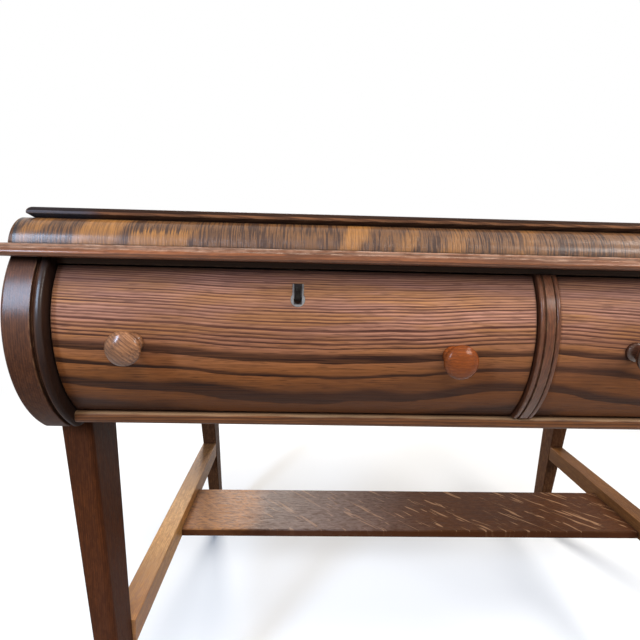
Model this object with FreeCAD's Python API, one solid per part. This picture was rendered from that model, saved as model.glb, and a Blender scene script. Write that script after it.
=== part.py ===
import FreeCAD, Part
import math
import os

# A two-drawer oak writing desk with swelled drawer fronts, in millimetres.
# The front faces -Y, +X runs along the front to the right and +Z is up.
# The origin is on the floor under the middle of the whole desk.
# Every setback is measured back from the swell line, the foremost line of the drawer fronts.

# Whole desk
desk_height = 762.0
desk_width = 980.0
case_depth = 752.0
cut_overrun = 5.0
match_tolerance = 0.05

# Top board with a rounded nose over a bevel
top_thickness = 10.0
top_setback = 25.0
top_end_inset = 9.0
top_back_overhang = 6.0
top_bevel_height = 4.0
top_bevel_run = 5.0
top_nose_radius = 5.0

# Cushion frieze under the top
frieze_height = 24.0
frieze_foot_setback = 7.0
frieze_crown_setback = 31.0
frieze_end_cap = 4.0
frieze_end_inset = 1.0
frieze_end_lean = 3.4
side_frieze_thickness = 18.0
back_frieze_thickness = 22.0
glue_block_size = 20.0
glue_block_shares = (-0.8, -0.3, 0.3, 0.8)

# Bead moulding between the frieze and the drawers
bead_height = 8.0
bead_fillet_height = 4.0
bead_proud = 5.0
bead_side_overhang = 7.0
moulding_width = 44.0

# Drawer openings and the rails above and below them
opening_height = 153.5
top_rail_thickness = 6.5
top_rail_setback = 21.0
top_rail_depth = 69.0
bottom_rail_thickness = 13.0
bottom_rail_setback = 38.0
bottom_rail_depth = 72.0
bottom_rail_nose_radius = 5.0

# Swell of the drawer fronts: two arcs that meet upright at the crown
swell_crown_height = 94.0
swell_upper_radius = 95.0
swell_lower_radius = 124.0

# Curved corner posts at the front
post_thickness = 37.0
post_proud = 13.0
post_drop = 7.0
post_bead_width = 8.0
post_bead_radius = 3.2
post_groove_width = 2.5
post_groove_depth = 3.8
post_edge_radius = 3.0

# Muntin between the drawers
muntin_width = 20.0
muntin_centre = 24.0
muntin_proud = 5.0
muntin_back_setback = 62.0
muntin_bead_width = 4.5
muntin_bead_radius = 1.8
muntin_groove_width = 1.4
muntin_groove_depth = 2.2

# Legs
leg_setback = 79.0
leg_top_depth = 72.0
leg_foot_depth = 34.0
front_leg_top_width = 33.0
back_leg_top_width = 44.0
leg_foot_width = 22.0
leg_foot_inset = 44.0
leg_edge_radius = 2.0
front_leg_round = 7.0

# End and back panels
end_panel_thickness = 16.0
end_panel_recess = 6.0
back_panel_thickness = 10.0
back_panel_recess = 2.0
back_rail_thickness = 18.0
back_top_rail_height = 48.0
back_bottom_rail_height = 40.0

# Drawer runners, guides, kickers and stops
side_runner_width = 30.0
centre_runner_width = 60.0
side_guide_height = 50.0
centre_guide_height = 25.0
kicker_height = 22.0
side_kicker_reach = 20.0
centre_kicker_width = 40.0
stop_width = 24.0
stop_depth = 14.0
stop_height = 7.0
stop_gap = 0.5
stop_shares = (0.25, 0.75)

# Stretchers and the shelf between them
stretcher_top = 234.0
stretcher_height = 34.0
stretcher_width = 32.0
stretcher_edge_radius = 1.5
shelf_thickness = 14.0
shelf_width = 144.0
shelf_centre_setback = 439.5
dowel_diameter = 8.0
dowel_length = 36.0
dowel_clearance = 0.1
stretcher_dowel_spacing = 16.0
shelf_dowel_shares = (-0.3, 0.3)

# Drawers
drawer_side_gap = 1.2
drawer_top_gap = 1.5
drawer_front_lift = 2.0
drawer_front_thickness = 22.0
drawer_front_edge_radius = 1.0
drawer_side_lift = 0.3
drawer_side_thickness = 12.0
drawer_side_height = 134.0
drawer_back_thickness = 12.0
drawer_back_drop = 4.0
drawer_back_room = 102.0
drawer_bottom_thickness = 6.0
drawer_bottom_lift = 10.0
drawer_groove_depth = 5.0

# Turned knobs and their screws
knob_diameter = 32.0
knob_stand = 33.0
knob_insets = {"left": 75.5, "right": 79.5}
knob_drops = {"left": 12.0, "right": 19.0}
knob_base_diameter = 19.0
knob_base_height = 3.0
knob_neck_diameter = 12.5
knob_neck_height = 12.0
knob_rim_height = 25.5
knob_rim_thickness = 3.5
knob_screw_diameter = 4.0
knob_screw_reach = 20.0
knob_screw_head_diameter = 9.0
knob_screw_head_height = 3.0
screw_clearance = 0.1

# Keyhole with its metal liner
keyhole_drop = 12.3
liner_height = 21.0
liner_top_width = 10.5
liner_bulge_diameter = 13.5
liner_wall = 2.8
liner_depth = 6.0
liner_proud = 0.4

# Half-mortise drawer lock
lock_setback = 24.5
lock_width = 58.0
lock_height = 40.0
lock_thickness = 10.0
lock_pocket_clearance = 0.2
lock_bolt_width = 24.0
lock_bolt_thickness = 5.0
lock_bolt_height = 19.5
lock_bolt_sink = 0.5
lock_bolt_clearance = 0.3
lock_bolt_setback = 27.0
lock_mortise_clearance = 1.0
lock_keyhole_width = 5.0
lock_keyhole_height = 10.0
lock_keyhole_depth = 5.0
lock_screw_diameter = 3.0
lock_screw_head_diameter = 6.0
lock_screw_head_height = 1.5
lock_screw_reach = 8.0
lock_screw_spacing = 44.0

# Levels worked out from the sizes above
top_z = desk_height - top_thickness
frieze_z = top_z - frieze_height
case_top_z = frieze_z - bead_fillet_height - bead_height
opening_top_z = case_top_z - top_rail_thickness
opening_bottom_z = opening_top_z - opening_height
case_bottom_z = opening_bottom_z - bottom_rail_thickness
post_bottom_z = case_bottom_z - post_drop
crown_z = opening_bottom_z + swell_crown_height
drawer_front_bottom_z = opening_bottom_z + drawer_front_lift
drawer_front_top_z = opening_top_z - drawer_top_gap
drawer_side_bottom_z = opening_bottom_z + drawer_side_lift
drawer_bottom_z = drawer_side_bottom_z + drawer_bottom_lift
lock_bottom_z = drawer_front_top_z - lock_height
liner_top_z = drawer_front_top_z - keyhole_drop
stretcher_bottom_z = stretcher_top - stretcher_height
stretcher_middle_z = stretcher_top - stretcher_height / 2

# Places along X, given for the right-hand half
moulding_face_x = desk_width / 2
post_face_x = moulding_face_x - bead_side_overhang
opening_side_x = post_face_x - post_thickness
end_panel_face_x = post_face_x - end_panel_recess
end_panel_back_x = end_panel_face_x - end_panel_thickness
frieze_face_x = post_face_x - frieze_end_inset
side_frieze_back_x = frieze_face_x - side_frieze_thickness

# Places along Y
swell_y = (knob_stand - case_depth - top_back_overhang) / 2
moulding_front_y = swell_y - bead_proud
moulding_back_y = moulding_front_y + moulding_width
case_back_y = swell_y + case_depth
leg_front_y = swell_y + leg_setback
front_leg_back_y = leg_front_y + leg_top_depth
back_leg_front_y = case_back_y - leg_top_depth
top_rail_back_y = swell_y + top_rail_setback + top_rail_depth
bottom_rail_back_y = swell_y + bottom_rail_setback + bottom_rail_depth
back_panel_y = case_back_y - back_panel_recess - back_panel_thickness
back_rail_y = back_panel_y - back_rail_thickness
drawer_back_y = back_rail_y - drawer_back_room
drawer_length = drawer_back_y - swell_y
muntin_back_y = swell_y + muntin_back_setback
lock_y = swell_y + lock_setback
lock_bolt_y = swell_y + lock_bolt_setback

to_right = FreeCAD.Vector(1, 0, 0)
to_back = FreeCAD.Vector(0, 1, 0)
middle_of_desk = FreeCAD.Vector(0, 0, 0)
full_turn = 360.0

parts = {}


def point(x, y, z):
    return FreeCAD.Vector(x, y, z)


def block(x0, x1, y0, y1, z0, z1):
    return Part.makeBox(x1 - x0, y1 - y0, z1 - z0, point(x0, y0, z0))


def polygon_face(points):
    return Part.Face(Part.makePolygon(points + points[:1]))


def rod(start, direction, diameter, length):
    return Part.makeCylinder(diameter / 2, length, start, direction)


def both_sides(name, left_shape):
    parts["left_" + name] = left_shape
    parts["right_" + name] = left_shape.mirror(middle_of_desk, to_right)


def arc_setback(radius, rise):
    return radius - math.sqrt(radius ** 2 - rise ** 2)


def swell_setback(z, proud):
    # Setback of a face that stands proud of the drawer swell, at height z.
    radius = swell_upper_radius if z > crown_z else swell_lower_radius
    return arc_setback(radius + proud, abs(z - crown_z)) - proud


def swell(proud, x0, x1, z0, z1, back_y):
    # Solid whose front follows the drawer swell, standing proud of it, with a flat back.
    def on_front(z):
        return point(x0, swell_y + swell_setback(z, proud), z)

    crown = on_front(crown_z)
    upper = Part.Arc(on_front(z1), on_front((z1 + crown_z) / 2), crown).toShape()
    lower = Part.Arc(crown, on_front((z0 + crown_z) / 2), on_front(z0)).toShape()
    rest = Part.makePolygon([on_front(z0), point(x0, back_y, z0), point(x0, back_y, z1), on_front(z1)])
    outline = Part.Wire([upper, lower] + rest.Edges)
    return Part.Face(outline).extrude(point(x1 - x0, 0, 0))


def swell_groove(proud, depth, x0, x1, z0, z1, back_y):
    # Slot of the given depth along a swelled front.
    outside = swell(proud + depth, x0, x1, z0, z1, back_y)
    inside = swell(proud - depth, x0, x1, z0, z1, back_y)
    return outside.cut(inside)


def swell_edges(shape, proud, x):
    # Edges of a swelled front at one place along X.
    radii = (swell_upper_radius + proud, swell_lower_radius + proud)
    found = []
    for edge in shape.Edges:
        round_edge = isinstance(edge.Curve, Part.Circle)
        if not round_edge:
            continue
        same_place = math.isclose(edge.CenterOfMass.x, x, abs_tol=match_tolerance)
        same_radius = any(math.isclose(edge.Curve.Radius, r, abs_tol=match_tolerance) for r in radii)
        if same_place and same_radius:
            found.append(edge)
    return found


def leg_face_x(z):
    # Distance of a leg's outer face from the middle of the desk below the case.
    return post_face_x - leg_foot_inset * (case_bottom_z - z) / case_bottom_z


def leg_width(top_width, z):
    return leg_foot_width + (top_width - leg_foot_width) * z / case_bottom_z


def leg_depth(z):
    return leg_foot_depth + (leg_top_depth - leg_foot_depth) * z / case_bottom_z


def front_leg_y(z):
    # Front and back faces of a front leg, which tapers towards its upright front.
    return leg_front_y, leg_front_y + leg_depth(z)


def back_leg_y(z):
    # Front and back faces of a back leg, which tapers towards its upright back.
    return case_back_y - leg_depth(z), case_back_y


def make_top_board():
    x = post_face_x - top_end_inset
    y0 = swell_y + top_setback
    y1 = case_back_y + top_back_overhang
    bevel_z = top_z + top_bevel_height

    def outline(inset, z):
        return Part.makePolygon([
            point(-x + inset, y0 + inset, z),
            point(x - inset, y0 + inset, z),
            point(x - inset, y1, z),
            point(-x + inset, y1, z),
            point(-x + inset, y0 + inset, z),
        ])

    bevel = Part.makeLoft([outline(top_bevel_run, top_z), outline(0, bevel_z)], True, True)
    board = block(-x, x, y0, y1, bevel_z, desk_height).fuse(bevel).removeSplitter()
    nose = []
    for edge in board.Edges:
        box = edge.BoundBox
        at_top = math.isclose(box.ZMin, desk_height)
        at_back = math.isclose(box.YMin, y1)
        if at_top and not at_back:
            nose.append(edge)
    parts["top_board"] = board.makeFillet(top_nose_radius, nose)


def frieze_face(x):
    # Section of the cushion frieze: an arc that rises upright from its foot.
    run = frieze_crown_setback - frieze_foot_setback
    radius = (run ** 2 + frieze_height ** 2) / (2 * run)
    centre_y = swell_y + frieze_foot_setback + radius
    turn = math.atan2(frieze_height, radius - run)

    def on_arc(angle):
        return point(x, centre_y - radius * math.cos(angle), frieze_z + radius * math.sin(angle))

    front = Part.Arc(on_arc(0), on_arc(turn / 2), on_arc(turn)).toShape()
    rest = Part.makePolygon([
        on_arc(turn),
        point(x, moulding_back_y, top_z),
        point(x, moulding_back_y, frieze_z),
        on_arc(0),
    ])
    return Part.Face(Part.Wire([front] + rest.Edges))


def make_friezes():
    inner_x = frieze_face_x - frieze_end_cap
    parts["front_frieze"] = frieze_face(-inner_x).extrude(point(2 * inner_x, 0, 0))
    cap = frieze_face(-frieze_face_x).extrude(point(frieze_end_cap, 0, 0))
    board = block(-frieze_face_x, -side_frieze_back_x, moulding_back_y, case_back_y, frieze_z, top_z)
    # The end leans inwards from its foot to the top.
    y0 = swell_y - cut_overrun
    lean = polygon_face([
        point(-frieze_face_x - cut_overrun, y0, frieze_z),
        point(-frieze_face_x, y0, frieze_z),
        point(-frieze_face_x + frieze_end_lean, y0, top_z),
        point(-frieze_face_x - cut_overrun, y0, top_z),
    ]).extrude(to_back * (case_depth + 2 * cut_overrun))
    both_sides("side_frieze", cap.fuse(board).removeSplitter().cut(lean))
    parts["back_frieze"] = block(
        -side_frieze_back_x, side_frieze_back_x,
        case_back_y - back_frieze_thickness, case_back_y, frieze_z, top_z)


def make_glue_blocks():
    # Blocks in the corner between the friezes and the top.
    size = glue_block_size
    blocks = []
    reach = side_frieze_back_x - size
    for share in glue_block_shares:
        x = reach * share
        blocks.append(block(x - size, x + size, moulding_back_y, moulding_back_y + size, top_z - size, top_z))
        back_y = case_back_y - back_frieze_thickness
        blocks.append(block(x - size, x + size, back_y - size, back_y, top_z - size, top_z))
    parts["glue_blocks"] = Part.makeCompound(blocks)


def bead_outline(away):
    # Section of the moulding, placed by away(distance in from its face, height).
    radius = bead_height / 2
    bead_top_z = case_top_z + bead_height
    nose = Part.Arc(
        away(radius, bead_top_z), away(0, case_top_z + radius), away(radius, case_top_z)).toShape()
    rest = Part.makePolygon([
        away(radius, case_top_z),
        away(moulding_width, case_top_z),
        away(moulding_width, frieze_z),
        away(radius, frieze_z),
        away(radius, bead_top_z),
    ])
    return Part.Face(Part.Wire([nose] + rest.Edges))


def make_bead_mouldings():
    # Mitred at the front corners, running back along both ends of the desk.
    x = moulding_face_x
    y = moulding_front_y
    w = moulding_width
    height = frieze_z - case_top_z
    end_wedge = polygon_face([point(-x, y, case_top_z), point(-x, y + w, case_top_z),
                              point(-x + w, y + w, case_top_z)]).extrude(point(0, 0, height))
    front_wedge = polygon_face([point(-x, y, case_top_z), point(-x + w, y, case_top_z),
                                point(-x + w, y + w, case_top_z)]).extrude(point(0, 0, height))

    def front_point(distance, z):
        return point(-x, y + distance, z)

    def side_point(distance, z):
        return point(-x + distance, y, z)

    front = bead_outline(front_point).extrude(point(2 * x, 0, 0)).cut(end_wedge)
    other_wedge = end_wedge.mirror(middle_of_desk, to_right)
    parts["front_bead_moulding"] = front.cut(other_wedge)
    side = bead_outline(side_point).extrude(point(0, case_back_y - y, 0))
    both_sides("bead_moulding", side.cut(front_wedge))


def make_posts():
    # Sawn to the swell, with a groove and a bead along the edge beside the drawer.
    outer = -post_face_x
    inner = -opening_side_x
    bead = inner - post_bead_width
    groove = bead - post_groove_width
    z0 = post_bottom_z
    z1 = case_top_z
    post = swell(post_proud, outer, inner, z0, z1, leg_front_y)
    post = post.cut(swell_groove(post_proud, post_groove_depth, groove, bead, z0, z1, leg_front_y))
    bead_edges = swell_edges(post, post_proud, bead) + swell_edges(post, post_proud, inner)
    post = post.makeFillet(post_bead_radius, bead_edges)
    post = post.makeFillet(post_edge_radius, swell_edges(post, post_proud, outer))
    both_sides("front_post", post)


def make_muntin():
    left = muntin_centre - muntin_width / 2
    right = muntin_centre + muntin_width / 2
    muntin = swell(muntin_proud, left, right, opening_bottom_z, opening_top_z, muntin_back_y)
    grooves = (left + muntin_bead_width, right - muntin_bead_width - muntin_groove_width)
    for x in grooves:
        slot = swell_groove(muntin_proud, muntin_groove_depth, x, x + muntin_groove_width,
                            opening_bottom_z, opening_top_z, muntin_back_y)
        muntin = muntin.cut(slot)
    edges = []
    for x in (left, grooves[0], grooves[1] + muntin_groove_width, right):
        edges += swell_edges(muntin, muntin_proud, x)
    parts["muntin"] = muntin.makeFillet(muntin_bead_radius, edges)


def leg_outline(faces_y, top_width, z):
    outer = -leg_face_x(z)
    inner = outer + leg_width(top_width, z)
    y0, y1 = faces_y(z)
    corners = [point(outer, y0, z), point(inner, y0, z), point(inner, y1, z), point(outer, y1, z)]
    return Part.makePolygon(corners + corners[:1])


def stretcher_centre_x():
    mean_top_width = (front_leg_top_width + back_leg_top_width) / 2
    return leg_face_x(stretcher_middle_z) - leg_width(mean_top_width, stretcher_middle_z) / 2


def stretcher_end_y(z):
    # Faces of the legs that the stretcher meets at height z.
    return front_leg_y(z)[1], back_leg_y(z)[0]


def stretcher_dowel_places():
    return [stretcher_middle_z + side * stretcher_dowel_spacing / 2 for side in (-1, 1)]


def stretcher_dowel_holes():
    # Holes for the dowels at both ends of the left stretcher.
    holes = []
    for z in stretcher_dowel_places():
        for y in stretcher_end_y(z):
            start = point(-stretcher_centre_x(), y - dowel_length / 2 - dowel_clearance, z)
            holes.append(rod(start, to_back, dowel_diameter + 2 * dowel_clearance,
                             dowel_length + 2 * dowel_clearance))
    return holes


def make_leg(faces_y, top_width, inner_front_radius):
    # Upright inside the case and leaning inwards, with a taper, below it.
    foot = leg_outline(faces_y, top_width, 0)
    shoulder = leg_outline(faces_y, top_width, case_bottom_z)
    shaft = Part.makeLoft([foot, shoulder], True, True)
    corners = [edge for edge in shaft.Edges if edge.BoundBox.ZLength > case_bottom_z / 2]
    inner_front = max(corners, key=lambda edge: edge.CenterOfMass.x - edge.CenterOfMass.y)
    inner_front_middle = inner_front.CenterOfMass
    shaft = shaft.makeFillet(leg_edge_radius, [edge for edge in corners if not edge.isSame(inner_front)])
    inner_front = min(shaft.Edges, key=lambda edge: edge.CenterOfMass.distanceToPoint(inner_front_middle))
    shaft = shaft.makeFillet(inner_front_radius, [inner_front])
    y0, y1 = faces_y(case_bottom_z)
    upper = block(-post_face_x, -opening_side_x, y0, y1, case_bottom_z, case_top_z)
    leg = shaft.fuse(upper)
    for hole in stretcher_dowel_holes():
        leg = leg.cut(hole)
    return leg


def make_legs():
    both_sides("front_leg", make_leg(front_leg_y, front_leg_top_width, front_leg_round))
    both_sides("back_leg", make_leg(back_leg_y, back_leg_top_width, leg_edge_radius))


def make_panels_and_rails():
    side = opening_side_x
    both_sides("end_panel", block(
        -end_panel_face_x, -end_panel_back_x, front_leg_back_y, back_leg_front_y, case_bottom_z, case_top_z))
    parts["back_panel"] = block(
        -side, side, back_panel_y, back_panel_y + back_panel_thickness, case_bottom_z, frieze_z)
    parts["back_top_rail"] = block(
        -side, side, back_rail_y, back_panel_y, frieze_z - back_top_rail_height, frieze_z)
    parts["back_bottom_rail"] = block(
        -side, side, back_rail_y, back_panel_y, case_bottom_z, case_bottom_z + back_bottom_rail_height)

    top_rail = block(-side, side, swell_y + top_rail_setback, top_rail_back_y, opening_top_z, case_top_z)
    for left, right in drawer_openings():
        top_rail = top_rail.cut(bolt_mortise((left + right) / 2))
    parts["front_top_rail"] = top_rail

    rail_y = swell_y + bottom_rail_setback
    rail = block(-side, side, rail_y, bottom_rail_back_y, case_bottom_z, opening_bottom_z)
    nose = []
    for edge in rail.Edges:
        box = edge.BoundBox
        if math.isclose(box.YMax, rail_y) and box.XLength > side:
            nose.append(edge)
    parts["front_bottom_rail"] = rail.makeFillet(bottom_rail_nose_radius, nose)


def make_runners():
    # Runners carry the drawers, guides keep them square and kickers stop them tipping.
    side = opening_side_x
    z0 = case_bottom_z
    z1 = opening_bottom_z
    y0 = bottom_rail_back_y
    both_sides("runner", block(-side, -side + side_runner_width, y0, back_rail_y, z0, z1))
    both_sides("guide", block(
        -end_panel_back_x, -side, front_leg_back_y, back_leg_front_y, z0, z0 + side_guide_height))
    both_sides("kicker", block(
        -end_panel_back_x, -side + side_kicker_reach, front_leg_back_y, back_leg_front_y,
        case_top_z - kicker_height, case_top_z))

    half = centre_runner_width / 2
    runner = block(muntin_centre - half, muntin_centre + half, y0, back_rail_y, z0, z1)
    guide = block(muntin_centre - muntin_width / 2, muntin_centre + muntin_width / 2,
                  y0, back_rail_y, z1, z1 + centre_guide_height)
    parts["centre_runner"] = runner.fuse(guide).removeSplitter()
    half = centre_kicker_width / 2
    parts["centre_kicker"] = block(
        muntin_centre - half, muntin_centre + half, top_rail_back_y, back_rail_y,
        case_top_z - kicker_height, case_top_z)


def make_drawer_stops():
    stops = []
    y = swell_y + swell_setback(drawer_front_bottom_z, -drawer_front_thickness) + stop_gap
    for left, right in drawer_openings():
        for share in stop_shares:
            x = left + (right - left) * share
            stops.append(block(x - stop_width / 2, x + stop_width / 2, y, y + stop_depth,
                               opening_bottom_z, opening_bottom_z + stop_height))
    parts["drawer_stops"] = Part.makeCompound(stops)


def shelf_dowel_places():
    return [swell_y + shelf_centre_setback + share * shelf_width for share in shelf_dowel_shares]


def shelf_dowel_holes():
    holes = []
    inner = -stretcher_centre_x() + stretcher_width / 2
    for y in shelf_dowel_places():
        start = point(inner - dowel_length / 2 - dowel_clearance, y, stretcher_bottom_z + shelf_thickness / 2)
        holes.append(rod(start, to_right, dowel_diameter + 2 * dowel_clearance,
                         dowel_length + 2 * dowel_clearance))
    return holes


def make_stretchers():
    centre = stretcher_centre_x()
    half = stretcher_width / 2
    front_low, back_low = stretcher_end_y(stretcher_bottom_z)
    front_high, back_high = stretcher_end_y(stretcher_top)
    outer = -centre - half
    stretcher = polygon_face([
        point(outer, front_low, stretcher_bottom_z), point(outer, back_low, stretcher_bottom_z),
        point(outer, back_high, stretcher_top), point(outer, front_high, stretcher_top),
    ]).extrude(point(stretcher_width, 0, 0))
    long_edges = [e for e in stretcher.Edges if math.isclose(e.BoundBox.ZMin, stretcher_top)
                  and e.BoundBox.YLength > stretcher_width]
    stretcher = stretcher.makeFillet(stretcher_edge_radius, long_edges)
    for hole in stretcher_dowel_holes() + shelf_dowel_holes():
        stretcher = stretcher.cut(hole)
    both_sides("stretcher", stretcher)

    y = swell_y + shelf_centre_setback
    end = centre - half
    shelf = block(-end, end, y - shelf_width / 2, y + shelf_width / 2,
                  stretcher_bottom_z, stretcher_bottom_z + shelf_thickness)
    edges = [e for e in shelf.Edges if e.BoundBox.XLength > shelf_width]
    shelf = shelf.makeFillet(stretcher_edge_radius, edges)
    for hole in shelf_dowel_holes():
        shelf = shelf.cut(hole).cut(hole.mirror(middle_of_desk, to_right))
    parts["stretcher_shelf"] = shelf


def make_dowels():
    dowels = []
    for side in (-1, 1):
        x = side * stretcher_centre_x()
        for z in stretcher_dowel_places():
            for y in stretcher_end_y(z):
                start = point(x, y - dowel_length / 2, z)
                dowels.append(rod(start, to_back, dowel_diameter, dowel_length))
        inner = side * (stretcher_centre_x() - stretcher_width / 2)
        for y in shelf_dowel_places():
            start = point(inner - dowel_length / 2, y, stretcher_bottom_z + shelf_thickness / 2)
            dowels.append(rod(start, to_right, dowel_diameter, dowel_length))
    parts["stretcher_dowels"] = Part.makeCompound(dowels)


def drawer_openings():
    return (
        (-opening_side_x, muntin_centre - muntin_width / 2),
        (muntin_centre + muntin_width / 2, opening_side_x),
    )


def bolt_mortise(x):
    half = lock_bolt_width / 2 + lock_mortise_clearance
    return block(x - half, x + half, lock_bolt_y - lock_mortise_clearance,
                 lock_bolt_y + lock_bolt_thickness + lock_mortise_clearance,
                 opening_top_z - cut_overrun, case_top_z + cut_overrun)


def keyhole_prism(x, wall, depth):
    # Keyhole outline, narrow above and bulged below, drawn in by wall and run back through the front.
    half = liner_top_width / 2 - wall
    radius = liner_bulge_diameter / 2 - wall
    bulge_z = liner_top_z - liner_height + liner_bulge_diameter / 2
    y = swell_y - cut_overrun
    slot = block(x - half, x + half, y, y + depth, bulge_z, liner_top_z - wall)
    return slot.fuse(rod(point(x, y, bulge_z), to_back, 2 * radius, depth)).removeSplitter()


def make_keyhole_liner(x, left, right):
    depth = lock_setback + cut_overrun
    ring = keyhole_prism(x, 0, depth).cut(keyhole_prism(x, liner_wall, depth))
    shell = swell(liner_proud, left, right, drawer_front_bottom_z, drawer_front_top_z, drawer_back_y)
    core = swell(-liner_depth, left, right, drawer_front_bottom_z, drawer_front_top_z, drawer_back_y)
    return ring.common(shell.cut(core))


def make_knob(x, knob_z, front):
    # Turned mushroom knob, its base hollowed to sit on the swell.
    face_y = swell_y + swell_setback(knob_z, 0)
    length = face_y - (swell_y - knob_stand)

    def on_knob(height, diameter):
        return point(x, face_y - height, knob_z + diameter / 2)

    sunk = -knob_base_height
    neck_side = (knob_base_height + knob_neck_height) / 2
    neck_middle = (knob_neck_diameter + knob_base_diameter) / 2 - knob_base_height
    under_rim = knob_diameter - knob_rim_thickness / 2
    rim_top = knob_rim_height + knob_rim_thickness
    dome_rise = length - rim_top
    dome_radius = ((under_rim / 2) ** 2 + dome_rise ** 2) / (2 * dome_rise)
    dome_angle = math.asin(under_rim / 2 / dome_radius) / 2
    dome_height = length - dome_radius + dome_radius * math.cos(dome_angle)
    dome_width = 2 * dome_radius * math.sin(dome_angle)
    pieces = [
        Part.makePolygon([on_knob(length, 0), on_knob(sunk, 0), on_knob(sunk, knob_base_diameter),
                          on_knob(knob_base_height, knob_base_diameter)]),
        Part.Wire(Part.Arc(on_knob(knob_base_height, knob_base_diameter), on_knob(neck_side, neck_middle),
                           on_knob(knob_neck_height, knob_neck_diameter)).toShape()),
        Part.Wire(Part.LineSegment(on_knob(knob_neck_height, knob_neck_diameter),
                                   on_knob(knob_rim_height, under_rim)).toShape()),
        Part.Wire(Part.Arc(on_knob(knob_rim_height, under_rim),
                           on_knob(knob_rim_height + knob_rim_thickness / 2, knob_diameter),
                           on_knob(rim_top, under_rim)).toShape()),
        Part.Wire(Part.Arc(on_knob(rim_top, under_rim), on_knob(dome_height, dome_width),
                           on_knob(length, 0)).toShape()),
    ]
    outline = Part.Wire([edge for piece in pieces for edge in piece.Edges])
    knob = Part.Face(outline).revolve(point(x, face_y, knob_z), to_back, full_turn)
    hole_start = point(x, face_y - knob_screw_reach + knob_base_height, knob_z)
    hole = rod(hole_start, to_back, knob_screw_diameter + 2 * screw_clearance, knob_screw_reach)
    return knob.cut(front).cut(hole)


def make_knob_screw(x, knob_z):
    # The head seats on the back of the drawer front where that is furthest back under it.
    low_z = knob_z - knob_screw_head_diameter / 2
    seat = swell_y + swell_setback(low_z, -drawer_front_thickness)
    tip = swell_y + swell_setback(knob_z, 0) - knob_screw_reach + knob_base_height + screw_clearance
    shank = rod(point(x, tip, knob_z), to_back, knob_screw_diameter, seat - tip)
    head = rod(point(x, seat, knob_z), to_back, knob_screw_head_diameter, knob_screw_head_height)
    return shank.fuse(head).removeSplitter()


def lock_screw_places(x):
    z = drawer_front_top_z - lock_height / 2
    return [(x + side * lock_screw_spacing / 2, z) for side in (-1, 1)]


def make_lock_case(x):
    case = block(x - lock_width / 2, x + lock_width / 2, lock_y, lock_y + lock_thickness,
                 lock_bottom_z, drawer_front_top_z)
    half = lock_bolt_width / 2 + lock_bolt_clearance
    bolt_foot_z = drawer_front_top_z - lock_bolt_sink - lock_bolt_height - lock_bolt_clearance
    slot = block(x - half, x + half, lock_bolt_y - lock_bolt_clearance,
                 lock_bolt_y + lock_bolt_thickness + lock_bolt_clearance,
                 bolt_foot_z, drawer_front_top_z + cut_overrun)
    keyhole = block(x - lock_keyhole_width / 2, x + lock_keyhole_width / 2, lock_y,
                    lock_y + lock_keyhole_depth, bolt_foot_z - lock_keyhole_height, bolt_foot_z)
    case = case.cut(slot).cut(keyhole)
    for screw_x, z in lock_screw_places(x):
        case = case.cut(rod(point(screw_x, lock_y - cut_overrun, z), to_back,
                            lock_screw_diameter + 2 * screw_clearance, lock_thickness + 2 * cut_overrun))
    return case


def make_lock_bolt(x):
    top = drawer_front_top_z - lock_bolt_sink
    return block(x - lock_bolt_width / 2, x + lock_bolt_width / 2, lock_bolt_y,
                 lock_bolt_y + lock_bolt_thickness, top - lock_bolt_height, top)


def make_lock_screws(x):
    screws = []
    for screw_x, z in lock_screw_places(x):
        seat = lock_y + lock_thickness
        length = lock_thickness + lock_screw_reach
        shank = rod(point(screw_x, seat - length, z), to_back, lock_screw_diameter, length)
        head = rod(point(screw_x, seat, z), to_back, lock_screw_head_diameter, lock_screw_head_height)
        screws.append(shank.fuse(head).removeSplitter())
    return Part.makeCompound(screws)


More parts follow.
